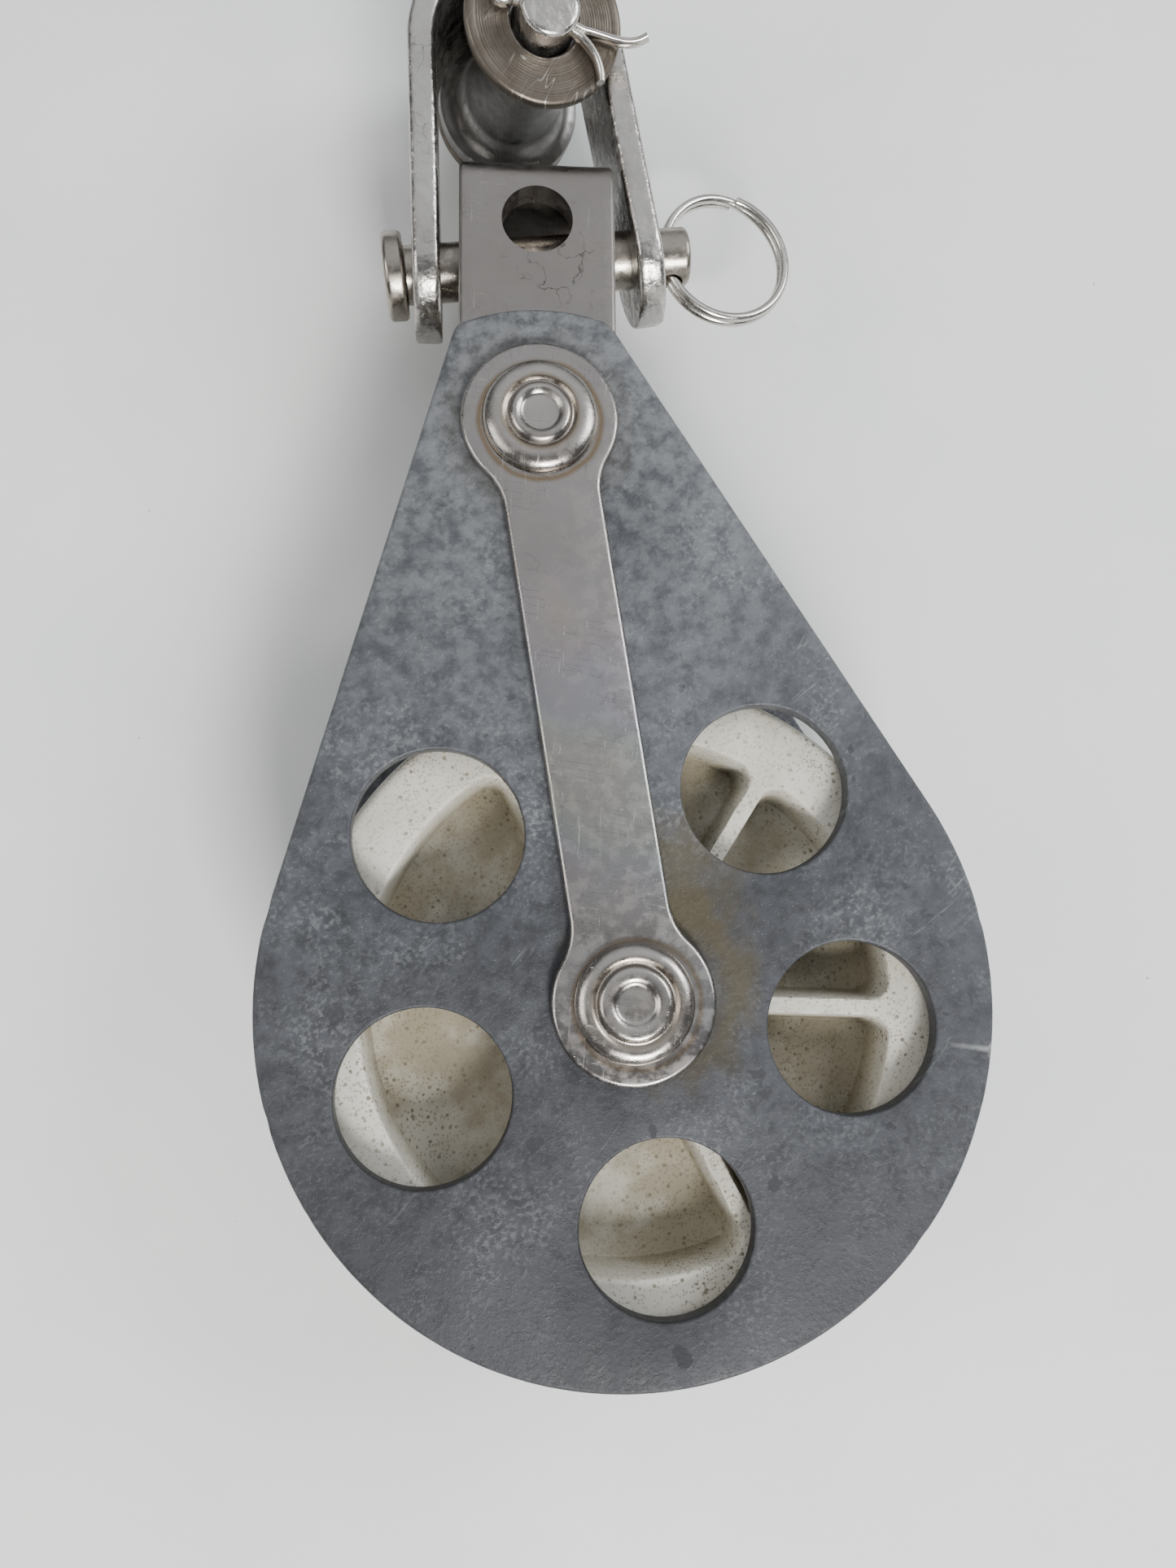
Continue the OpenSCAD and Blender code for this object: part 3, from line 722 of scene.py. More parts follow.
def lathe(name: str, profile: Sequence[Point2], place: Matrix, segments: int = 128,
          dent: float = 0.0) -> bpy.types.Object:
    """Turns a closed profile round the Z axis of a placement.

    Args:
        name: The object's name.
        profile: Closed outline of (radius, height) points in mm, clear of the axis or touching it.
        place: The frame that the profile turns in, in metres.
        segments: Steps round the axis.
        dent: Depth of soft dents in mm.

    Returns:
        The object.
    """
    bm = bmesh.new()
    rings = []
    for radius, height in profile:
        if radius <= 1e-6:
            rings.append([bm.verts.new(place @ Vector((0.0, 0.0, height * MM)))])
            continue
        ring = []
        for k in range(segments):
            turn = 2 * math.pi * k / segments
            outward = Vector((math.cos(turn), math.sin(turn), 0.0))
            spot = place @ (outward * radius * MM + Vector((0.0, 0.0, height * MM)))
            spot += (place.to_3x3() @ outward) * rock(spot, dent * MM, 260.0)
            ring.append(bm.verts.new(spot))
        rings.append(ring)
    for near, far in zip(rings, rings[1:] + rings[:1]):
        if len(near) == 1 and len(far) == 1:
            continue
        for k in range(segments):
            j = (k + 1) % segments
            corners = [near[k % len(near)], near[j % len(near)], far[j % len(far)], far[k % len(far)]]
            bm.faces.new(list(dict.fromkeys(corners)))
    return new_object(name, bm)


def plate(name: str, outline: Sequence[Point2], holes: Sequence[Sequence[Point2]], low: float, high: float,
          edge: float, hole_edge: float, nick: float = 0.0) -> bpy.types.Object:
    """Builds a flat plate with rounded rims and round-edged holes.

    Args:
        name: The object's name.
        outline: Outer outline in mm, anticlockwise.
        holes: Hole outlines in mm, clockwise.
        low: Height of the lower face in mm.
        high: Height of the upper face in mm.
        edge: Rounding of the outer rim in mm.
        hole_edge: Rounding of the hole rims in mm.
        nick: Depth of small nicks along the outer rim in mm.

    Returns:
        The object.
    """
    bm = bmesh.new()
    caps: tuple[list, list] = ([], [])
    for number, loop in enumerate([outline, *holes]):
        rounding = edge if number == 0 else hole_edge
        size = len(loop)
        normals = []
        for k in range(size):
            ahead, behind = Vector(loop[(k + 1) % size]), Vector(loop[k - 1])
            along = (ahead - behind).normalized()
            normals.append(Vector((along.y, -along.x)))
        section = [(-rounding * (1 - math.sin(math.radians(a))),
                    high - rounding * (1 - math.cos(math.radians(a))))
                   for a in (0, 22.5, 45, 67.5, 90)]
        section += [(shift, low + high - z) for shift, z in reversed(section)]
        rings = []
        for shift, z in section:
            ring = []
            for k in range(size):
                wobble = 0.0
                if number == 0 and nick:
                    seat = Vector((loop[k][0] * MM, loop[k][1] * MM, low * MM))
                    chip = max(0.0, noise.noise(seat * 210.0) - 0.35)
                    wobble = -chip * nick - 0.06 * nick * noise.noise(seat * 900.0)
                spot = Vector(loop[k]) + normals[k] * (shift + wobble)
                ring.append(bm.verts.new((spot.x * MM, spot.y * MM, z * MM)))
            rings.append(ring)
        bridge_rings(bm, rings, closed=False)
        caps[0].append(rings[0])
        caps[1].append(rings[-1])
    bm.verts.index_update()
    for cap in caps:
        edges = []
        for ring in cap:
            for k, vert in enumerate(ring):
                edges.append(bm.edges.get((vert, ring[(k + 1) % len(ring)])))
        bmesh.ops.triangle_fill(bm, use_beauty=True, use_dissolve=False, edges=edges)
    return new_object(name, bm, 30.0)


def circle_loop(centre: Point2, radius: float, count: int = 96) -> list[Point2]:
    """A clockwise circle for a hole."""
    return [(centre[0] + radius * math.cos(-2 * math.pi * k / count),
             centre[1] + radius * math.sin(-2 * math.pi * k / count))
            for k in range(count)]


def tube_along(name: str, path: Sequence[Vector], section: Sequence[Point2], up: Vector,
               closed: bool = False) -> bpy.types.Object:
    """Sweeps a small closed section along a path.

    Args:
        name: The object's name.
        path: Points in metres.
        section: Outline in metres, (sideways, up) from the path.
        up: A direction that the section's up side keeps to.
        closed: Whether the path is a loop.

    Returns:
        The object.
    """
    bm = bmesh.new()
    rings = []
    count = len(path)
    for k, spot in enumerate(path):
        ahead = path[(k + 1) % count] if closed or k + 1 < count else path[k]
        behind = path[k - 1] if closed or k > 0 else path[k]
        along = (ahead - behind).normalized()
        side = along.cross(up).normalized()
        rise = side.cross(along)
        rings.append([bm.verts.new(spot + side * s + rise * u) for s, u in section])
    bridge_rings(bm, rings, closed)
    if not closed:
        bm.faces.new(rings[0])
        bm.faces.new(rings[-1])
    return new_object(name, bm, 50.0)


def bore(body: bpy.types.Object, drills: Sequence[tuple[Vector, Vector, float]]) -> None:
    """Drills round holes through a piece in one cut and applies it.

    Args:
        body: The piece.
        drills: Each drill's start, end and radius in metres.
    """
    bm = bmesh.new()
    for start, end, radius in drills:
        turn = (end - start).to_track_quat("Z", "Y").to_matrix().to_4x4()
        bmesh.ops.create_cone(bm, cap_ends=True, segments=72, radius1=radius, radius2=radius,
                              depth=(end - start).length,
                              matrix=Matrix.Translation((start + end) / 2) @ turn)
    drill = new_object("drill", bm)
    cutter = body.modifiers.new("bore", "BOOLEAN")
    cutter.operation = "DIFFERENCE"
    cutter.solver = "EXACT"
    cutter.object = drill
    bake_modifiers(body)
    bpy.data.objects.remove(drill)
    bm = bmesh.new()
    bm.from_mesh(body.data)
    bmesh.ops.dissolve_degenerate(bm, edges=bm.edges, dist=1e-7)
    for edge in bm.edges:
        edge.smooth = len(edge.link_faces) == 2 and edge.calc_face_angle(0.0) < math.radians(40.0)
    for face in bm.faces:
        face.smooth = True
    bm.to_mesh(body.data)
    bm.free()


def bake_modifiers(body: bpy.types.Object) -> None:
    """Replaces a piece's mesh with the result of its modifiers."""
    graph = bpy.context.evaluated_depsgraph_get()
    baked = bpy.data.meshes.new_from_object(body.evaluated_get(graph))
    body.modifiers.clear()
    body.data = baked


@dataclass
class BentBar:
    """Flat bar bent in one plane, with round ends."""

    width: float
    thickness: float
    edge: float
    end_radius: float
    pebble: float = 0.0
    smooth_pebble: float = 0.0

    def build(self, name: str, path: Sequence[Point2], place: Matrix) -> bpy.types.Object:
        """Sweeps the bar.

        Args:
            name: The object's name.
            path: Centre line in mm in the bend's plane, the X and Y of the placement.
            place: The frame; the bar's width runs along its Z.

        Returns:
            The object.
        """
        bm = bmesh.new()
        points = [Vector(p) for p in path]
        run = [0.0]
        for k in range(1, len(points)):
            run.append(run[-1] + (points[k] - points[k - 1]).length)
        rings = []
        for k, spot in enumerate(points):
            along = (points[min(k + 1, len(points) - 1)] - points[max(k - 1, 0)]).normalized()
            out = Vector((along.y, -along.x, 0.0))
            gap = min(run[k], run[-1] - run[k])
            half = self.width / 2
            if gap < self.end_radius:
                half *= math.sqrt(max(0.0, 1 - (1 - gap / self.end_radius) ** 2))
            near_end = max(0.0, 1 - gap / 24.0)
            ring = []
            for side, wide in self._section(max(half, 0.35)):
                seat = Vector((spot.x, spot.y, 0.0)) + out * side + Vector((0.0, 0.0, wide))
                world = place @ (seat * MM)
                lift = self.pebble * (0.35 + 0.65 * near_end)
                bumps = rock(world, lift, 900.0) + rock(world, 0.8 * self.smooth_pebble, 160.0)
                reach = Vector((side / self.thickness * 2, wide / max(half, 0.35), 0.0))
                push = out * reach.x + Vector((0.0, 0.0, reach.y))
                ring.append(bm.verts.new(world + place.to_3x3() @ push.normalized() * bumps * MM))
            rings.append(ring)
        bridge_rings(bm, rings, closed=False)
        bm.faces.new(rings[0])
        bm.faces.new(rings[-1])
        return new_object(name, bm, 42.0)

    def _section(self, half: float) -> list[Point2]:
        """Rounded rectangle of the bar's thickness and a half width, as (through, across) points."""
        r = min(self.edge, half * 0.8)
        t = self.thickness / 2
        points: list[Point2] = []
        for cx, cy, start in ((t - r, half - r, 0), (r - t, half - r, 90), (r - t, r - half, 180),
                              (t - r, r - half, 270)):
            points += arc((cx, cy), r, start, start + 90, 4)
        dense: list[Point2] = []
        for k, here in enumerate(points):
            after = points[(k + 1) % len(points)]
            dense.append(here)
            long_side = abs(k % 5 - 4) < 1
            if long_side:
                steps = 4 if k // 5 % 2 == 0 else 18
                dense += [(here[0] + (after[0] - here[0]) * i / steps,
                           here[1] + (after[1] - here[1]) * i / steps)
                          for i in range(1, steps)]
        return dense


# ---------------------------------------------------------------- frame of the block


class Layout:
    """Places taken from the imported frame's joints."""

    def __init__(self, frame: dict) -> None:
        """Reads the joints.
        """
        joints = {j["name"]: j for j in frame["joints"]}
        self.axle = Vector(joints["sheave_spin"]["pos_m"])
        self.rivet = Vector(joints["bail_swing"]["pos_m"])
        self.pin = Vector(joints["pin_rock"]["pos_m"])
        self.ring_hole = Vector(joints["ring_swing"]["pos_m"])
        self.spool = Vector(joints["spool_nod"]["pos_m"])
        pin_axis = Vector(joints["bow_swing"]["axis"]).normalized()
        spool_axis = Vector(joints["spool_spin"]["axis"]).normalized()
        self.bail_frame = self._frame(self.rivet, Vector((0, 0, 1)).cross(self.rivet - self.pin),
                                      Vector((0, 0, 1)))
        self.pin_frame = self._frame(self.pin, pin_axis, Vector((0, 0, 1)))
        to_spool = self.spool - self.pin
        forward = to_spool - pin_axis * to_spool.dot(pin_axis)
        self.bow_frame = self._frame(self.pin, pin_axis, pin_axis.cross(forward))
        self.spool_frame = self._frame(self.spool, pin_axis, spool_axis)

    @staticmethod
    def _frame(origin: Vector, x_hint: Vector, z_axis: Vector) -> Matrix:
        """Builds a placement.

        Args:
            origin: Where it is.
            x_hint: About where X points.
            z_axis: Exactly where Z points.

        Returns:
            The placement.
        """
        z = z_axis.normalized()
        x = (x_hint - z * x_hint.dot(z)).normalized()
        y = z.cross(x)
        turn = Matrix((x, y, z)).transposed().to_4x4()
        return Matrix.Translation(origin) @ turn


def dress(piece: bpy.types.Object, material: bpy.types.Material, body: str, node: str) -> None:
    """Gives a piece its material and ties it to the frame.

    Args:
        piece: The visible piece.
        material: Its material.
        body: The CAD body it rides on.
        node: The CAD node that it replaces.
    """
    piece.data.materials.clear()
    piece.data.materials.append(material)
    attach(piece, body)
    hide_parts(node)
    LOG.info("%s stands for %s on %s", piece.name, node, body)


def dress_node(frame: dict, node: str, material: bpy.types.Material) -> None:
    """Gives a carried-over CAD node its material.

    Args:
        frame: The loaded frame.
        node: The node's name.
        material: Its material.
    """
    data = frame["nodes"][node].data
    data.materials.clear()
    data.materials.append(material)
    LOG.info("%s keeps its shape", node)


# ---------------------------------------------------------------- sub-assemblies


@dataclass
class Cheeks:
    """The two teardrop side plates."""

    light_radius: float = 12.7
    hole_edge: float = 0.45
    rim_edge: float = 0.7
    lower_radius: float = 54.4
    crown_radius: float = 31.3
    crown_rise: float = 18.4
    crown_turn: float = 9.75
    shoulder_half: float = 12.2
    shoulder_rise: float = 15.5
    shoulder_round: float = 1.2
    skew: float = -0.5
    light_holes: tuple[tuple[float, float], ...] = ((37.4, 131.1), (37.4, 48.9), (32.9, 195.3),
                                                    (32.9, -15.3), (32.4, -90.0))

    def outline(self, pitch: float) -> list[Point2]:
        """The teardrop: a polar curve round the axle, its shoulders rounded by a soft minimum.

        Args:
            pitch: Distance from the axle to the head rivet in mm.

        Returns:
            The outline in mm.
        """
        shoulder = Vector((self.shoulder_half, pitch + self.shoulder_rise))
        flank = math.atan2(shoulder.y, shoulder.x) - math.acos(self.lower_radius / shoulder.length)
        lean = math.radians(self.crown_turn)
        drop = self.crown_radius - self.crown_rise
        centre = Vector((-drop * math.sin(lean), pitch - drop * math.cos(lean)))
        loop = []
        for k in range(2880):
            turn = 2 * math.pi * k / 2880 - math.pi / 2
            ray = Vector((math.cos(turn), math.sin(turn)))
            from_side = math.atan2(ray.y, abs(ray.x))
            far = self.lower_radius
            if from_side > flank:
                side = self.lower_radius / math.cos(from_side - flank)
                lift = centre.dot(ray)
                beyond = self.crown_radius ** 2 - centre.length_squared + lift ** 2
                crown = lift + math.sqrt(beyond) if beyond > 0.0 and from_side > 1.2 else side + 10.0
                gap = max(0.0, self.shoulder_round - abs(side - crown))
                far = min(side, crown) - gap * gap / (4 * self.shoulder_round)
            loop.append((far * ray.x, far * ray.y))
        return loop

    def turned(self, point: Point2) -> Point2:
        """Returns a point turned about the axle by the plate's skew."""
        turn = math.radians(self.skew)
        x, y = point
        return (x * math.cos(turn) - y * math.sin(turn), x * math.sin(turn) + y * math.cos(turn))

    def build(self, lay: Layout, material: bpy.types.Material, rivet_radius: float = 6.3) -> None:
        """Makes both plates."""
        for node in ("front_cheek", "rear_cheek"):
            low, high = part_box(node)
            pitch = (lay.rivet - lay.axle).length / MM
            outline = resample([self.turned(p) for p in self.outline(pitch)], 0.7)
            holes = [circle_loop(self.turned((reach * math.cos(math.radians(a)),
                                              reach * math.sin(math.radians(a)))),
                                 self.light_radius, 120) for reach, a in self.light_holes]
            holes += [circle_loop((c.x / MM, c.y / MM), rivet_radius, 48) for c in (lay.axle, lay.rivet)]
            made = plate(f"{node}_plate", outline, holes, low.z / MM, high.z / MM, self.rim_edge,
                         self.hole_edge, 0.35)
            dress(made, material, "block", node)


@dataclass
class Straps:
    """The two dog-bone straps riveted over the cheeks."""

    width: float = 15.0
    head: float = 12.1
    fillet: float = 9.0
    edge: float = 0.75

    def outline(self, pitch: float) -> list[Point2]:
        """The dog-bone, anticlockwise from the right of the lower head.

        Args:
            pitch: Distance between the two heads in mm.

        Returns:
            The outline in mm.
        """
        fx = self.width / 2 + self.fillet
        fy = math.sqrt((self.head + self.fillet) ** 2 - fx * fx)
        lean = math.degrees(math.atan2(fy, fx))
        right = arc((fx, fy), self.fillet, 180 + lean, 180, 10)
        upper = [(x, pitch - y) for x, y in reversed(right)]
        side = right + upper
        left = [(-x, y) for x, y in reversed(side)]
        bottom = arc((0.0, 0.0), self.head, 180 - lean, 360 + lean, 60)
        top = arc((0.0, pitch), self.head, -lean, 180 + lean, 60)
        return bottom[:-1] + side + top[1:-1] + left[:-1]

    def build(self, lay: Layout, material: bpy.types.Material) -> None:
        """Makes both straps."""
        pitch = (lay.rivet - lay.axle).length / MM
        for node in ("front_strap", "rear_strap"):
            low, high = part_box(node)
            holes = [circle_loop((0.0, y), 6.3, 48) for y in (0.0, pitch)]
            outline = resample(self.outline(pitch), 0.6)
            made = plate(f"{node}_plate", outline, holes, low.z / MM, high.z / MM, self.edge, 0.2, 0.08)
            dress(made, material, "block", node)


@dataclass
class Rivets:
    """The axle rivet and the head rivet, with formed heads."""

    shank: float = 6.25
    shoulder: float = 1.75
    head_radius: float = 8.8
    ring_at: dict[str, float] = field(default_factory=lambda: {"axle_rivet": 4.9, "head_rivet": 4.2})

    def profile(self, top: float, strap: float, ring: float) -> list[Point2]:
        """Half-section of a rivet from its middle up.

        Args:
            top: Height of the head's highest point above the block's middle in mm.
            strap: Height of the strap's face in mm.
            ring: Radius of the raised ring in mm.

        Returns:
            (radius, height) points from the axis at the top round to the shank.
        """
        land = top - 0.45
        dimple = [(0.0, top - 0.5), (1.4, top - 0.52), (2.3, top - 0.58), (2.75, top - 0.56),
                  (3.0, top - 0.38)]
        crest = [(3.3, top - 0.14), (3.7, top - 0.03), (ring - 0.5, top), (ring - 0.1, top - 0.05),
                 (ring + 0.25, top - 0.2), (ring + 0.5, top - 0.5)]
        groove = [(ring + 0.68, top - 0.78), (ring + 0.88, top - 0.84), (ring + 1.08, top - 0.76),
                  (ring + 1.3, top - 0.56)]
        width = self.head_radius - ring - 1.8
        shoulder = [(ring + 1.8 + width * math.sin(math.radians(a)),
                     land - self.shoulder * (1 - math.cos(math.radians(a))))
                    for a in (0, 12, 24, 36, 48, 58, 68, 78, 90)]
        foot = [(self.head_radius, strap + 0.25), (self.head_radius - 0.25, strap), (self.shank, strap)]
        return dimple + crest + groove + shoulder + foot

    def build(self, lay: Layout, material: bpy.types.Material) -> None:
        """Makes both rivets, each the same front and back."""
        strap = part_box("front_strap")[1].z / MM
        for node, centre in (("axle_rivet", lay.axle), ("head_rivet", lay.rivet)):
            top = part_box(node)[1].z / MM
            upper = self.profile(top, strap, self.ring_at[node])
            lower = [(r, -h) for r, h in reversed(upper)]
            made = lathe(f"{node}_body", upper + lower, Matrix.Translation(centre), 144, 0.05)
            dress(made, material, "block", node)


@dataclass
class Sheave:
    """The moulded sheave: rope groove, and ribbed pockets on both sides."""

    ribs: int = 6
    rim_half: float = 13.0
    rim_round: float = 1.6
    lip_round: float = 0.5
    rib_width: float = 2.2
    first_rib: float = -11.0
    hub: float = 16.0
    pocket: float = 40.2
    depth: float = 8.0
    corner: float = 3.5
    wall_run: float = 1.3
    bore: float = 11.0
    groove_radius: float = 7.2
    groove_depth: float = 6.5
    flare: float = 30.0

    def sink(self, radius: float, turn: float) -> float:
        """How far the side face is sunk at a point, from 0 on a rib to the pocket's depth.

        Args:
            radius: Distance from the axle in mm.
            turn: Angle in degrees.

        Returns:
            The depth in mm.
        """
        step = 360.0 / self.ribs
        off = math.radians((turn - self.first_rib) % step - step / 2)
        half = math.radians(step / 2)
        inside_ray = radius * math.sin(half - abs(off)) - self.rib_width / 2
        inside = [inside_ray, self.pocket - radius, radius - self.hub]
        near = min(inside)
        others = sorted(inside)[1]
        if near < self.corner and others < self.corner:
            near = self.corner - math.hypot(self.corner - near, self.corner - others)
        part = min(1.0, max(0.0, near / self.wall_run))
        return self.depth * part * part * (3 - 2 * part)

    def radii(self, rim: float) -> list[float]:
        """Distances from the axle at which the side face is sampled, close together at the walls."""
        inner = [self.bore, self.bore + 0.4, self.hub - 1.0, self.hub - 0.3]
        wall_in = [self.hub + 0.22 * k for k in range(9)]
        floor = [self.hub + 2.6 + 1.1 * k for k in range(int((self.pocket - self.hub - 5.2) / 1.1) + 1)]
        wall_out = [self.pocket - 1.9 + 0.22 * k for k in range(10)]
        outer = [self.pocket + 0.6, self.pocket + 3.0, rim - 1.7]
        return sorted(set(round(r, 4) for r in inner + wall_in + floor + wall_out + outer))

    def turns(self) -> list[float]:
        """Angles at which the sheave is sampled, close together at the ribs."""
        step = 360.0 / self.ribs
        local = [0.0]
        while local[-1] < step / 2:
            local.append(local[-1] + (0.42 if local[-1] < 9.0 else 1.2))
        local = [a * (step / 2) / local[-1] for a in local]
        one = local + [step - a for a in reversed(local[1:-1])]
        return [self.first_rib + step * k + a for k in range(self.ribs) for a in one]

    def build(self, material: bpy.types.Material) -> None:
        """Makes the sheave as one closed skin."""
        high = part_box("sheave")[1]
        rim = high.x / MM
        half = self.rim_half
        groove_floor = rim - self.groove_depth
        rim_corner = (rim - self.rim_round, half - self.rim_round)
        outer: list[Point2] = arc(rim_corner, self.rim_round, 90, 0, 6)[1:]
        mouth = math.radians(self.flare)
        touch = self.groove_radius * math.cos(mouth)
        rise = self.groove_radius * (1 - math.sin(mouth))
        lip = touch + (self.groove_depth - rise - self.lip_round) * math.tan(mouth)
        lip_corner = (rim - self.lip_round, lip + self.lip_round)
        outer += arc(lip_corner, self.lip_round, 0, -90 + self.flare / 2, 4)[1:]
        outer += arc((groove_floor + self.groove_radius, 0.0), self.groove_radius, 180 - 60, 180, 12)
        bm = bmesh.new()
        turns = self.turns()
        faces_rings = []
        for radius in self.radii(rim):
            outside_bore = radius > self.bore + 0.2
            faces_rings.append([(radius, half - self.sink(radius, t) if outside_bore else half - 0.4)
                                for t in turns])
        hub_face = high.z / MM
        for index, radius in enumerate(self.radii(rim)):
            if self.bore + 0.2 < radius < self.hub - 0.5:
                faces_rings[index] = [(radius, hub_face)] * len(turns)
        top = faces_rings + [[(r, z)] * len(turns) for r, z in outer]
        rows = top + [[(r, -z) for r, z in row] for row in reversed(top[:-1])]
        rings = []
        for row in rows:
            ring = []
            for (radius, z), turn in zip(row, turns):
                angle = math.radians(turn)
                x, y = radius * math.cos(angle) * MM, radius * math.sin(angle) * MM
                ring.append(bm.verts.new((x, y, z * MM)))
            rings.append(ring)
        bridge_rings(bm, rings, closed=True)
        made = new_object("sheave_wheel", bm, 50.0)
        dress(made, material, "sheave", "sheave")


@dataclass
class Head:
    """The bent bail, the head pin and the split ring."""

    bail_width: float = 25.0
    bail_thickness: float = 4.5
    bail_bend: float = 5.0
    bail_hole: float = 5.7
    pin_radius: float = 4.76
    pin_head_radius: float = 7.15
    pin_head: float = 3.5
    ring_wire: float = 1.6
    ring_diameter: float = 24.0
    ring_tilt: float = 10.0
    cross_hole: float = 2.1

    def bail(self, lay: Layout, material: bpy.types.Material) -> None:
        """Makes the inverted U of flat bar with its rivet and pin holes."""
        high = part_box("head_bail")[1].z / MM
        place = lay.bail_frame @ Matrix(((0, 0, 1, 0), (1, 0, 0, 0), (0, 1, 0, 0), (0, 0, 0, 1)))
        reach = (lay.pin - lay.rivet).length / MM
        top = reach + 11.7
        half = self.bail_thickness / 2
        wall = high - half
        bend = self.bail_bend - half
        foot = -self.bail_width / 2
        steps = 70
        up = [(foot + (top - self.bail_bend - foot) * k / steps, wall) for k in range(steps)]
        corner = arc((top - self.bail_bend, wall - bend), bend, 90, 0, 10)
        across = [(top - half, (wall - bend) * (1 - 2 * k / 16)) for k in range(1, 16)]
        front = up + corner
        back = [(x, -z) for x, z in reversed(front)]
        path = front + across + back
        bar = BentBar(self.bail_width, self.bail_thickness, 0.7, self.bail_width / 2, 0.015, 0.03)
        made = bar.build("head_bail_strap", path, place)
        z_axis = Vector((0.0, 0.0, 0.03))
        bore(made, [(lay.rivet - z_axis, lay.rivet + z_axis, 6.4 * MM),
                    (lay.pin - z_axis, lay.pin + z_axis, self.bail_hole * MM)])
        dress(made, material, "bail", "head_bail")

    def pin(self, lay: Layout, material: bpy.types.Material) -> None:
        """Makes the cross pin with its head, chamfer and cross hole."""
        across = Matrix(((0, 0, 1, 0), (1, 0, 0, 0), (0, 1, 0, 0), (0, 0, 0, 1)))
        place = lay.pin_frame @ across
        inverse = lay.pin_frame.inverted()
        low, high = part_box("head_pin")
        head_out = (inverse @ Vector((low.x, lay.pin.y, 0.0))).x / MM
        tip = (inverse @ Vector((high.x, lay.pin.y, 0.0))).x / MM
        made = lathe("head_pin_body",
                     clevis_profile(self.pin_radius, self.pin_head_radius, self.pin_head, head_out, tip),
                     place, 96, 0.03)
        along = lay.pin_frame.to_3x3() @ Vector((0.0, 0.012, 0.0))
        bore(made, [(lay.ring_hole - along, lay.ring_hole + along, self.cross_hole * MM)])
        dress(made, material, "head_pin", "head_pin")

    def ring(self, lay: Layout, material: bpy.types.Material) -> None:
        """Makes the split ring: two turns of one wire, with a step where it changes turn."""
        low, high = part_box("split_ring")
        centre = (low + high) / 2
        tilt = lay.pin_frame.to_3x3() @ Matrix.Rotation(math.radians(self.ring_tilt), 3, "Y")
        radius = (self.ring_diameter - self.ring_wire) / 2 * MM
        pitch = (self.ring_wire - 0.02) * MM
        path = []
        count = 300
        step_at = 0.5
        for k in range(count + 1):
            turn = 2 * k / count
            climb = 1 / (1 + math.exp(-(turn - 2 * step_at) * 22.0))
            angle = 2 * math.pi * turn * 0.995 + math.radians(75.0)
            seat = Vector((radius * math.cos(angle), radius * math.sin(angle), pitch * (climb - 0.5)))
            path.append(centre + tilt @ seat)
        wire = self.ring_wire / 2 * MM
        section = [(wire * math.cos(math.radians(a)), wire * math.sin(math.radians(a)))
                   for a in range(0, 360, 30)]
        made = tube_along("split_ring_wire", path, section, tilt @ Vector((0.0, 0.0, 1.0)))
        dress(made, material, "ring", "split_ring")


def clevis_profile(radius: float, head_radius: float, head: float, low: float, high: float) -> list[Point2]:
    """Closed half-section of a clevis pin, its head at the low end.

    Args:
        radius: The shank's radius in mm.
        head_radius: The head's radius in mm.
        head: The head's thickness in mm.
        low: Outer face of the head in mm.
        high: The tip in mm.

    Returns:
        (radius, height) points from the axis at the head round to the axis at the tip.
    """
    edge = 0.9
    face = [(0.0, low), (head_radius * 0.5, low)]
    outer = arc((head_radius - edge, low + edge), edge, -90, 0, 6)
    inner = arc((head_radius - edge, low + head - edge), edge, 0, 90, 6)
    neck = [(radius + 0.15, low + head), (radius, low + head + 0.15)]
    shank = [(radius, low + head + (high - low - head - 1.0) * k / 12) for k in range(1, 13)]
    tip = arc((radius - 0.9, high - 0.9), 0.9, 10, 80, 4) + [(radius - 1.1, high), (0.0, high)]
    return face + outer + inner + neck + shank + tip


@dataclass
class Bow:
    """The flat-bar bow."""

    thickness: float = 4.5
    width: float = 22.2
    mouth: float = 15.9
    bight: float = 12.9
    reach: float = 32.6
    pin_hole: float = 4.82

    def build(self, lay: Layout, material: bpy.types.Material) -> None:
        """Bends the bar round the bight and drills its ends."""
        long_side = math.hypot(self.mouth, self.reach)
        slope = math.acos(self.bight / long_side) - math.atan2(self.reach, self.mouth)
        middle = self.bight + self.thickness / 2
        start = Vector((middle * math.cos(slope), self.reach + middle * math.sin(slope)))
        down = Vector((math.sin(slope), -math.cos(slope)))
        arm = start.y / math.cos(slope) + self.width / 2
        steps = 84
        right = [start + down * arm * (1 - k / steps) for k in range(steps)]
        bend = arc((0.0, self.reach), middle, math.degrees(slope), 180 - math.degrees(slope), 70)
        path = [(p.x, p.y) for p in right] + bend + [(-p.x, p.y) for p in reversed(right)]
        bar = BentBar(self.width, self.thickness, 1.0, self.width / 2, 0.05, 0.06)
        made = bar.build("bow_bar", path, lay.bow_frame)
        along = lay.pin_frame.to_3x3() @ Vector((0.04, 0.0, 0.0))
        bore(made, [(lay.pin - along, lay.pin + along, self.pin_hole * MM)])
        dress(made, material, "bow", "bow")


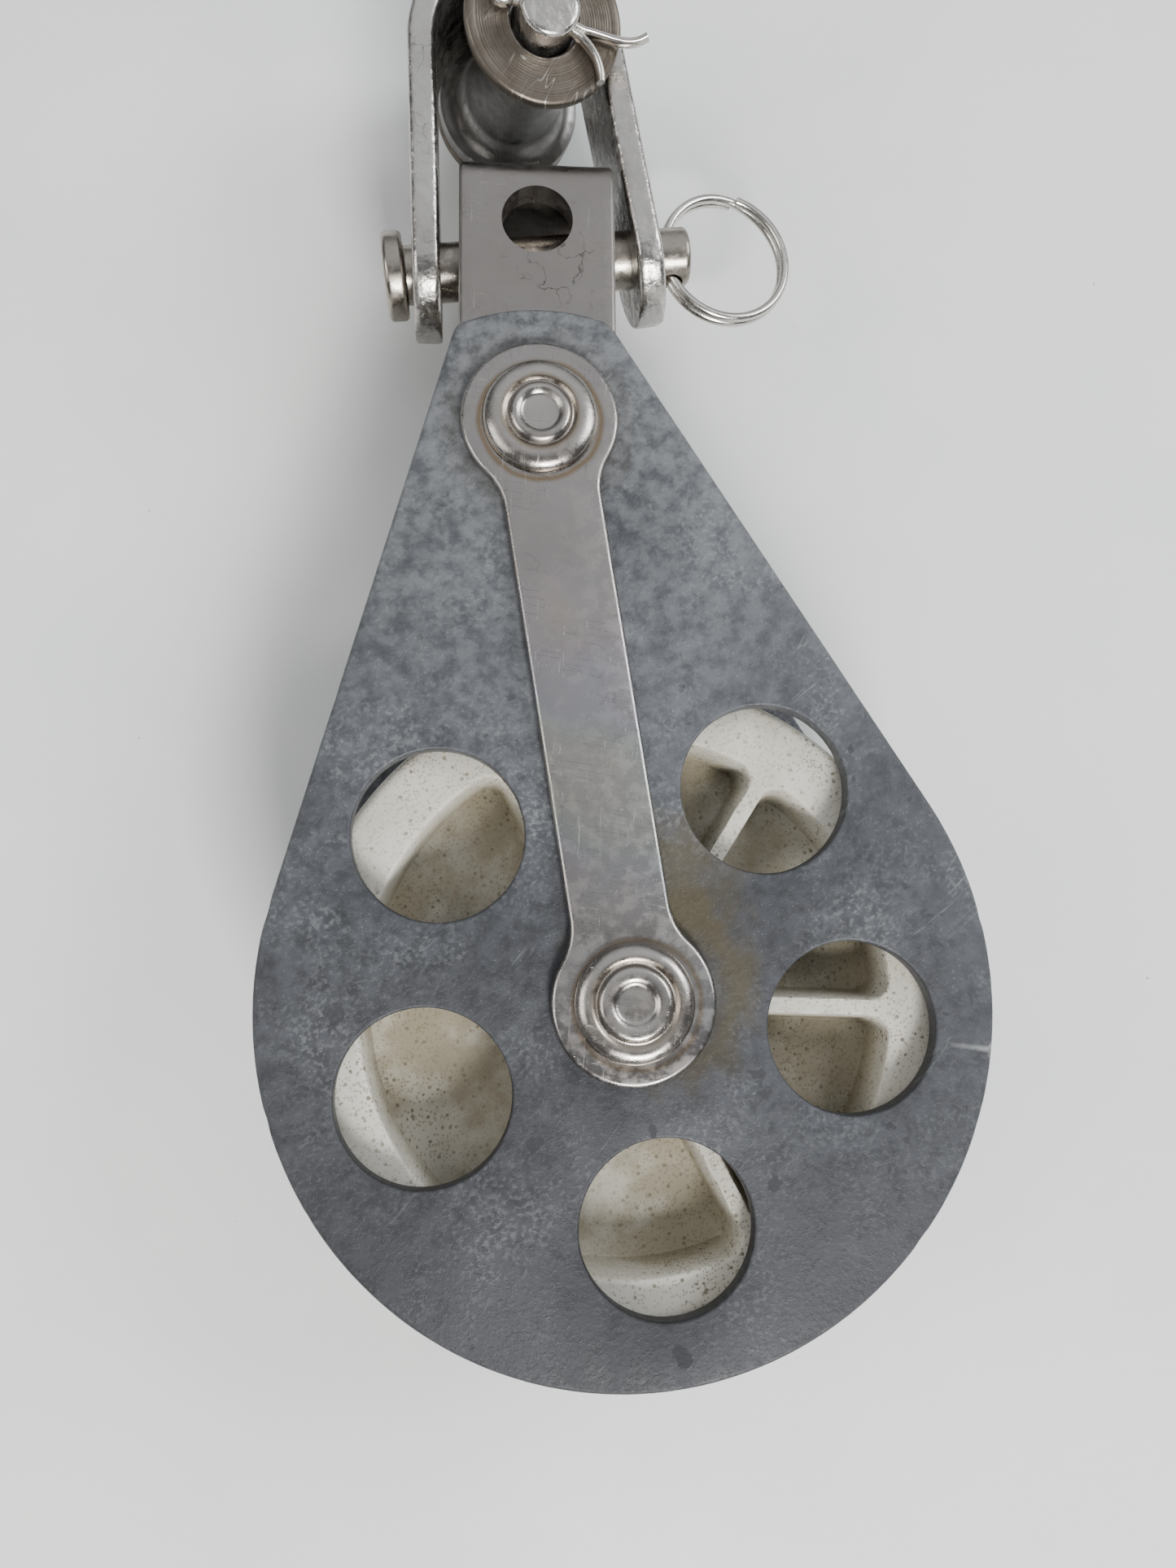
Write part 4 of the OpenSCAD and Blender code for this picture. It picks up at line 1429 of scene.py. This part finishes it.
@dataclass
class SpoolSet:
    """The spool in the bow's bight, its two washers, its pin and its cotter."""

    waist: float = 8.4
    flange: float = 12.7
    flange_low: float = -17.0
    flange_high: float = -14.0
    top: float = 13.8
    fillet: float = 4.3
    bore_radius: float = 4.84
    washer_bore: float = 5.56
    washer: float = 2.2
    gap: float = 0.25
    pin_radius: float = 4.76
    pin_head_radius: float = 7.15
    pin_head: float = 3.5
    pin_length: float = 42.7
    pin_tail: float = 2.4
    cotter: float = 2.4
    cotter_turn: float = -27.0
    cotter_reach: float = 0.9
    leg_offset: float = 0.56
    eye_radius: float = 1.75

    def spool(self, lay: Layout, material: bpy.types.Material) -> None:
        """Makes the waisted spool with its rear flange."""
        wall = [(self.bore_radius, self.flange_low + 0.4), (self.bore_radius + 0.4, self.flange_low)]
        rim = arc((self.flange - 0.6, self.flange_low + 0.6), 0.6, -90, 0, 5)
        rim += arc((self.flange - 0.6, self.flange_high - 0.6), 0.6, 0, 90, 5)
        sweep = arc((self.waist + self.fillet, self.flange_high + self.fillet), self.fillet, 265, 180, 14)
        neck = [(self.waist,
                 self.flange_high + self.fillet + (self.top - self.flange_high - self.fillet - 0.6) * k / 10)
                for k in range(1, 11)]
        end = [(self.waist - 0.5, self.top), (self.bore_radius + 0.4, self.top),
               (self.bore_radius, self.top - 0.4)]
        made = lathe("spool_body", wall + rim + sweep + neck + end, lay.spool_frame, 128, 0.06)
        dress(made, material, "spool", "spool")

    def washers(self, lay: Layout, material: bpy.types.Material) -> None:
        """Makes the front and rear washers, each with a few shallow turned grooves."""
        seats = {"front_spool_washer": self.top + self.gap,
                 "rear_spool_washer": self.flange_low - self.gap - self.washer}
        for node, low in seats.items():
            high = low + self.washer
            front = [(self.washer_bore + 0.3, high)]
            for k in range(1, 13):
                reach = self.washer_bore + 0.3 + (self.flange - self.washer_bore - 1.6) * k / 13
                front += [(reach - 0.18, high), (reach, high - 0.05), (reach + 0.18, high)]
            rim = arc((self.flange - 0.7, high - 0.7), 0.7, 90, 0, 6)
            rim += arc((self.flange - 0.5, low + 0.5), 0.5, 0, -90, 5)
            hole = [(self.washer_bore + 0.3, low), (self.washer_bore, low + 0.3),
                    (self.washer_bore, high - 0.3)]
            made = lathe(f"{node}_disc", front + rim + hole, lay.spool_frame, 128, 0.04)
            dress(made, material, "spool_pin", node)

    def pin(self, lay: Layout, material: bpy.types.Material) -> float:
        """Makes the spool's clevis pin.

        Returns:
            The height of its cotter hole along the pin, in mm.
        """
        cotter_z = self.top + self.gap + self.washer + self.cotter / 2 + 0.2
        tip = cotter_z + self.cotter / 2 + self.pin_tail
        head = tip - self.pin_length - self.pin_head
        made = lathe("spool_pin_body",
                     clevis_profile(self.pin_radius, self.pin_head_radius, self.pin_head, head, tip),
                     lay.spool_frame, 96, 0.04)
        across = self.cotter_frame(lay, cotter_z)
        reach = across.to_3x3() @ Vector((0.012, 0.0, 0.0))
        bore(made, [(across.translation - reach, across.translation + reach, (self.cotter / 2 + 0.12) * MM)])
        dress(made, material, "spool_pin", "spool_pin")
        return cotter_z

    def cotter_frame(self, lay: Layout, height: float) -> Matrix:
        """Frame of the cotter, X along it from its eye to its legs."""
        lift = Matrix.Translation((0, 0, height * MM))
        turn = Matrix.Rotation(math.radians(self.cotter_turn), 4, "Z")
        return lay.spool_frame @ lift @ turn

    def cotter_pin(self, lay: Layout, height: float, material: bpy.types.Material) -> None:
        """Makes the cotter as one half-round wire: leg, eye and leg.

        Args:
            lay: The layout.
            height: The cotter hole's height along the pin in mm.
            material: Its material.
        """
        place = self.cotter_frame(lay, height)
        out = self.pin_radius + self.cotter_reach
        off = self.leg_offset
        eye = self.eye_radius
        upper = [(out + 10.2, 3.9, 1.6), (out + 9.0, 2.75, 0.95), (out + 7.4, 1.95, 0.5),
                 (out + 5.4, 1.5, 0.2),
                 (out + 3.6, 1.2, 0.1), (out + 1.7, 0.85, 0.03), (out, off, 0.0)]
        lower = [(out, -off, 0.0), (out + 1.3, -0.85, 0.0), (out + 2.5, -1.35, 0.0),
                 (out + 3.7, -2.1, -0.05),
                 (out + 4.6, -3.0, -0.1), (out + 5.4, -4.1, -0.15), (out + 5.9, -5.2, -0.2)]
        loop = [(x - out - eye, y, 0.0) for x, y in arc((0.0, 0.0), eye, 28, 332, 26)]
        control = upper + [(0.0, off, 0.0), (-out + 0.2, off, 0.0)] + loop
        control += [(-out + 0.2, -off, 0.0), (0.0, -off, 0.0)] + lower
        path = [place @ (Vector(p) * MM) for p in smooth(control, 4)]
        wire = self.cotter / 2 * MM
        section = [(0.55 * wire * math.cos(math.radians(a)),
                    0.98 * wire * math.sin(math.radians(a))) for a in range(0, 360, 24)]
        made = tube_along("cotter_pin_wire", path, section, place.to_3x3() @ Vector((0.0, 0.0, 1.0)))
        dress(made, material, "spool_pin", "cotter_pin")


def smooth(points: Sequence[Sequence[float]], steps: int) -> list[Vector]:
    """A Catmull-Rom curve through points.

    Args:
        points: The points.
        steps: Intervals between neighbours.

    Returns:
        Points along the curve.
    """
    spots = [Vector(p) for p in points]
    padded = [spots[0] * 2 - spots[1], *spots, spots[-1] * 2 - spots[-2]]
    curve = []
    for k in range(1, len(padded) - 2):
        a, b, c, d = padded[k - 1:k + 3]
        for i in range(steps):
            t = i / steps
            curve.append(0.5 * ((2 * b) + (c - a) * t + (2 * a - 5 * b + 4 * c - d) * t * t
                                + (3 * b - a - 3 * c + d) * t * t * t))
    curve.append(spots[-1])
    return curve


# ---------------------------------------------------------------- studio


@dataclass
class Studio:
    """Table, lights and camera."""

    eye: tuple[float, float, float] = (-0.01957, 0.01445, 0.19034)
    forward: tuple[float, float, float] = (0.1038, 0.1038, -0.9892)
    up: tuple[float, float, float] = (0.1466, 0.9821, 0.1184)
    lens: float = 27.03
    table_size: float = 2.4

    def table(self, material: bpy.types.Material) -> None:
        """Lays a pale table under the block."""
        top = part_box("axle_rivet")[0].z
        bm = bmesh.new()
        bmesh.ops.create_grid(bm, x_segments=8, y_segments=8, size=self.table_size / 2)
        bm.transform(Matrix.Translation((0.0, 0.05, top)))
        made = new_object("table_top", bm)
        made.data.materials.append(material)

    def light(self, name: str, place: tuple[float, float, float], size: float, power: float,
              tone: Color) -> None:
        """Adds one soft area light that faces the block.

        Args:
            name: The light's name.
            place: Where it is, in metres.
            size: Its side in metres.
            power: Its power in watts.
            tone: Its colour.
        """
        lamp = bpy.data.lights.new(name, "AREA")
        lamp.size = size
        lamp.energy = power
        lamp.color = tone
        made = bpy.data.objects.new(name, lamp)
        made.location = place
        aim = Vector((0.0, 0.05, 0.0)) - Vector(place)
        made.rotation_euler = aim.to_track_quat("-Z", "Y").to_euler()
        bpy.context.scene.collection.objects.link(made)

    def lights(self) -> None:
        """Sets a key light, two weak fills and a dim world with one bright far ceiling."""
        self.light("key_softbox", (0.10, -1.00, 0.88), 0.42, 29.0, (1.0, 0.99, 0.97))
        self.light("right_fill", (0.95, 0.25, 0.75), 0.5, 9.0, (0.96, 0.98, 1.0))
        self.light("left_fill", (-0.95, 0.1, 0.8), 0.7, 6.0, (1.0, 0.98, 0.95))
        world = bpy.data.worlds.new("studio_world")
        world.use_nodes = True
        g = Graph(world.node_tree)
        way = g.node("ShaderNodeTexCoord").outputs["Generated"]
        window = g.node("ShaderNodeVectorMath", {0: way, 1: (0.16, 0.54, 0.83)},
                        operation="DOT_PRODUCT").outputs["Value"]
        tone = g.mix(g.remap(window, 0.60, 0.97), (0.16, 0.163, 0.17), (1.0, 1.03, 1.07))
        back = world.node_tree.nodes["Background"]
        g.feed(back.inputs["Color"], tone)
        back.inputs["Strength"].default_value = 0.9
        bpy.context.scene.world = world

    def camera(self) -> None:
        """Sets the camera at the viewing angle."""
        data = bpy.data.cameras.new("camera")
        data.lens = self.lens
        data.sensor_width = 36.0
        data.clip_start = 0.01
        made = bpy.data.objects.new("camera", data)
        back = -Vector(self.forward).normalized()
        right = Vector(self.up).cross(back).normalized()
        up = back.cross(right)
        turn = Matrix((right, up, back)).transposed().to_4x4()
        made.matrix_world = Matrix.Translation(self.eye) @ turn
        bpy.context.scene.collection.objects.link(made)
        bpy.context.scene.camera = made


# ---------------------------------------------------------------- assembly


def main() -> None:
    """Builds every piece round the frame and reports it."""
    logging.basicConfig(level=logging.INFO, format="%(message)s")
    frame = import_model()
    lay = Layout(frame)
    fx = Effects()

    plate_coat = PlateFinish().build(fx, lay.axle, lay.rivet)
    strap_steel = SteelFinish("strap_steel", tone=(0.32, 0.302, 0.29), shade=(0.26, 0.245, 0.234), tint=0.22,
                              stain_amount=0.10).build(
        fx, [(lay.axle + Vector((0.0004, -0.0003, 0.0)), 0.0093, 0.0008, 0.6),
             (lay.rivet + Vector((0.0, -0.0005, 0.0)), 0.0093, 0.0008, 0.8)])
    rivet_steel = SteelFinish("rivet_steel", tone=(0.42, 0.395, 0.37), shade=(0.28, 0.258, 0.235),
                              rough_low=0.2, rough_high=0.34, stain_amount=0.15, brush=0.0,
                              pebble=0.00004, pebble_scale=420.0).build(
        fx, [(lay.axle, 0.0062, 0.0009, 0.5), (lay.rivet, 0.0056, 0.0009, 0.6)])
    bail_steel = SteelFinish("bail_steel", tone=(0.285, 0.265, 0.25), shade=(0.23, 0.21, 0.195),
                             stain_amount=0.14,
                             rough_low=0.30, rough_high=0.44, crazing=0.8).build(fx)
    pin_steel = SteelFinish("pin_steel", tone=(0.40, 0.365, 0.32), shade=(0.27, 0.245, 0.215),
                            stain_amount=0.4).build(fx)
    bow_steel = SteelFinish("bow_steel", tone=(0.56, 0.54, 0.515), shade=(0.34, 0.32, 0.30),
                            stain_amount=0.2, brush=0.0,
                            rough_low=0.2, rough_high=0.36, pebble=0.00016, pebble_scale=620.0,
                            crazing=0.5).build(fx)
    wire_steel = SteelFinish("wire_steel", tone=(0.70, 0.68, 0.64), shade=(0.5, 0.47, 0.43), rough_low=0.16,
                             rough_high=0.28, stain_amount=0.1, brush=0.0).build(fx)
    spool_steel = SteelFinish("spool_steel", tone=(0.26, 0.252, 0.245), shade=(0.13, 0.126, 0.12),
                              stain_amount=0.15,
                              rough_low=0.3, rough_high=0.5, brush=0.0).build(fx)
    axis = lay.spool_frame.to_3x3() @ Vector((0.0, 0.0, 1.0))
    washer_steel = TurnedFinish("turned_washer").build(fx, lay.spool, axis)
    wheel = Sheave()
    rim_z = wheel.rim_half * MM
    plastic = PlasticFinish().build(fx, rim_z - wheel.depth * MM, rim_z)
    bronze = BronzeFinish().build(fx)

    Cheeks().build(lay, plate_coat)
    Straps().build(lay, strap_steel)
    Rivets().build(lay, rivet_steel)
    wheel.build(plastic)
    head = Head()
    head.bail(lay, bail_steel)
    head.pin(lay, pin_steel)
    head.ring(lay, wire_steel)
    Bow().build(lay, bow_steel)
    spools = SpoolSet()
    spools.spool(lay, spool_steel)
    spools.washers(lay, washer_steel)
    cotter_z = spools.pin(lay, bow_steel)
    spools.cotter_pin(lay, cotter_z, wire_steel)
    for node in ("axle_sleeve", "head_spacer"):
        dress_node(frame, node, pin_steel)
    for node in ("sheave_bush", "front_thrust_washer", "rear_thrust_washer"):
        dress_node(frame, node, bronze)

    studio = Studio()
    studio.table(TableFinish().build(fx))
    studio.lights()
    studio.camera()


if __name__ == "__main__":
    main()
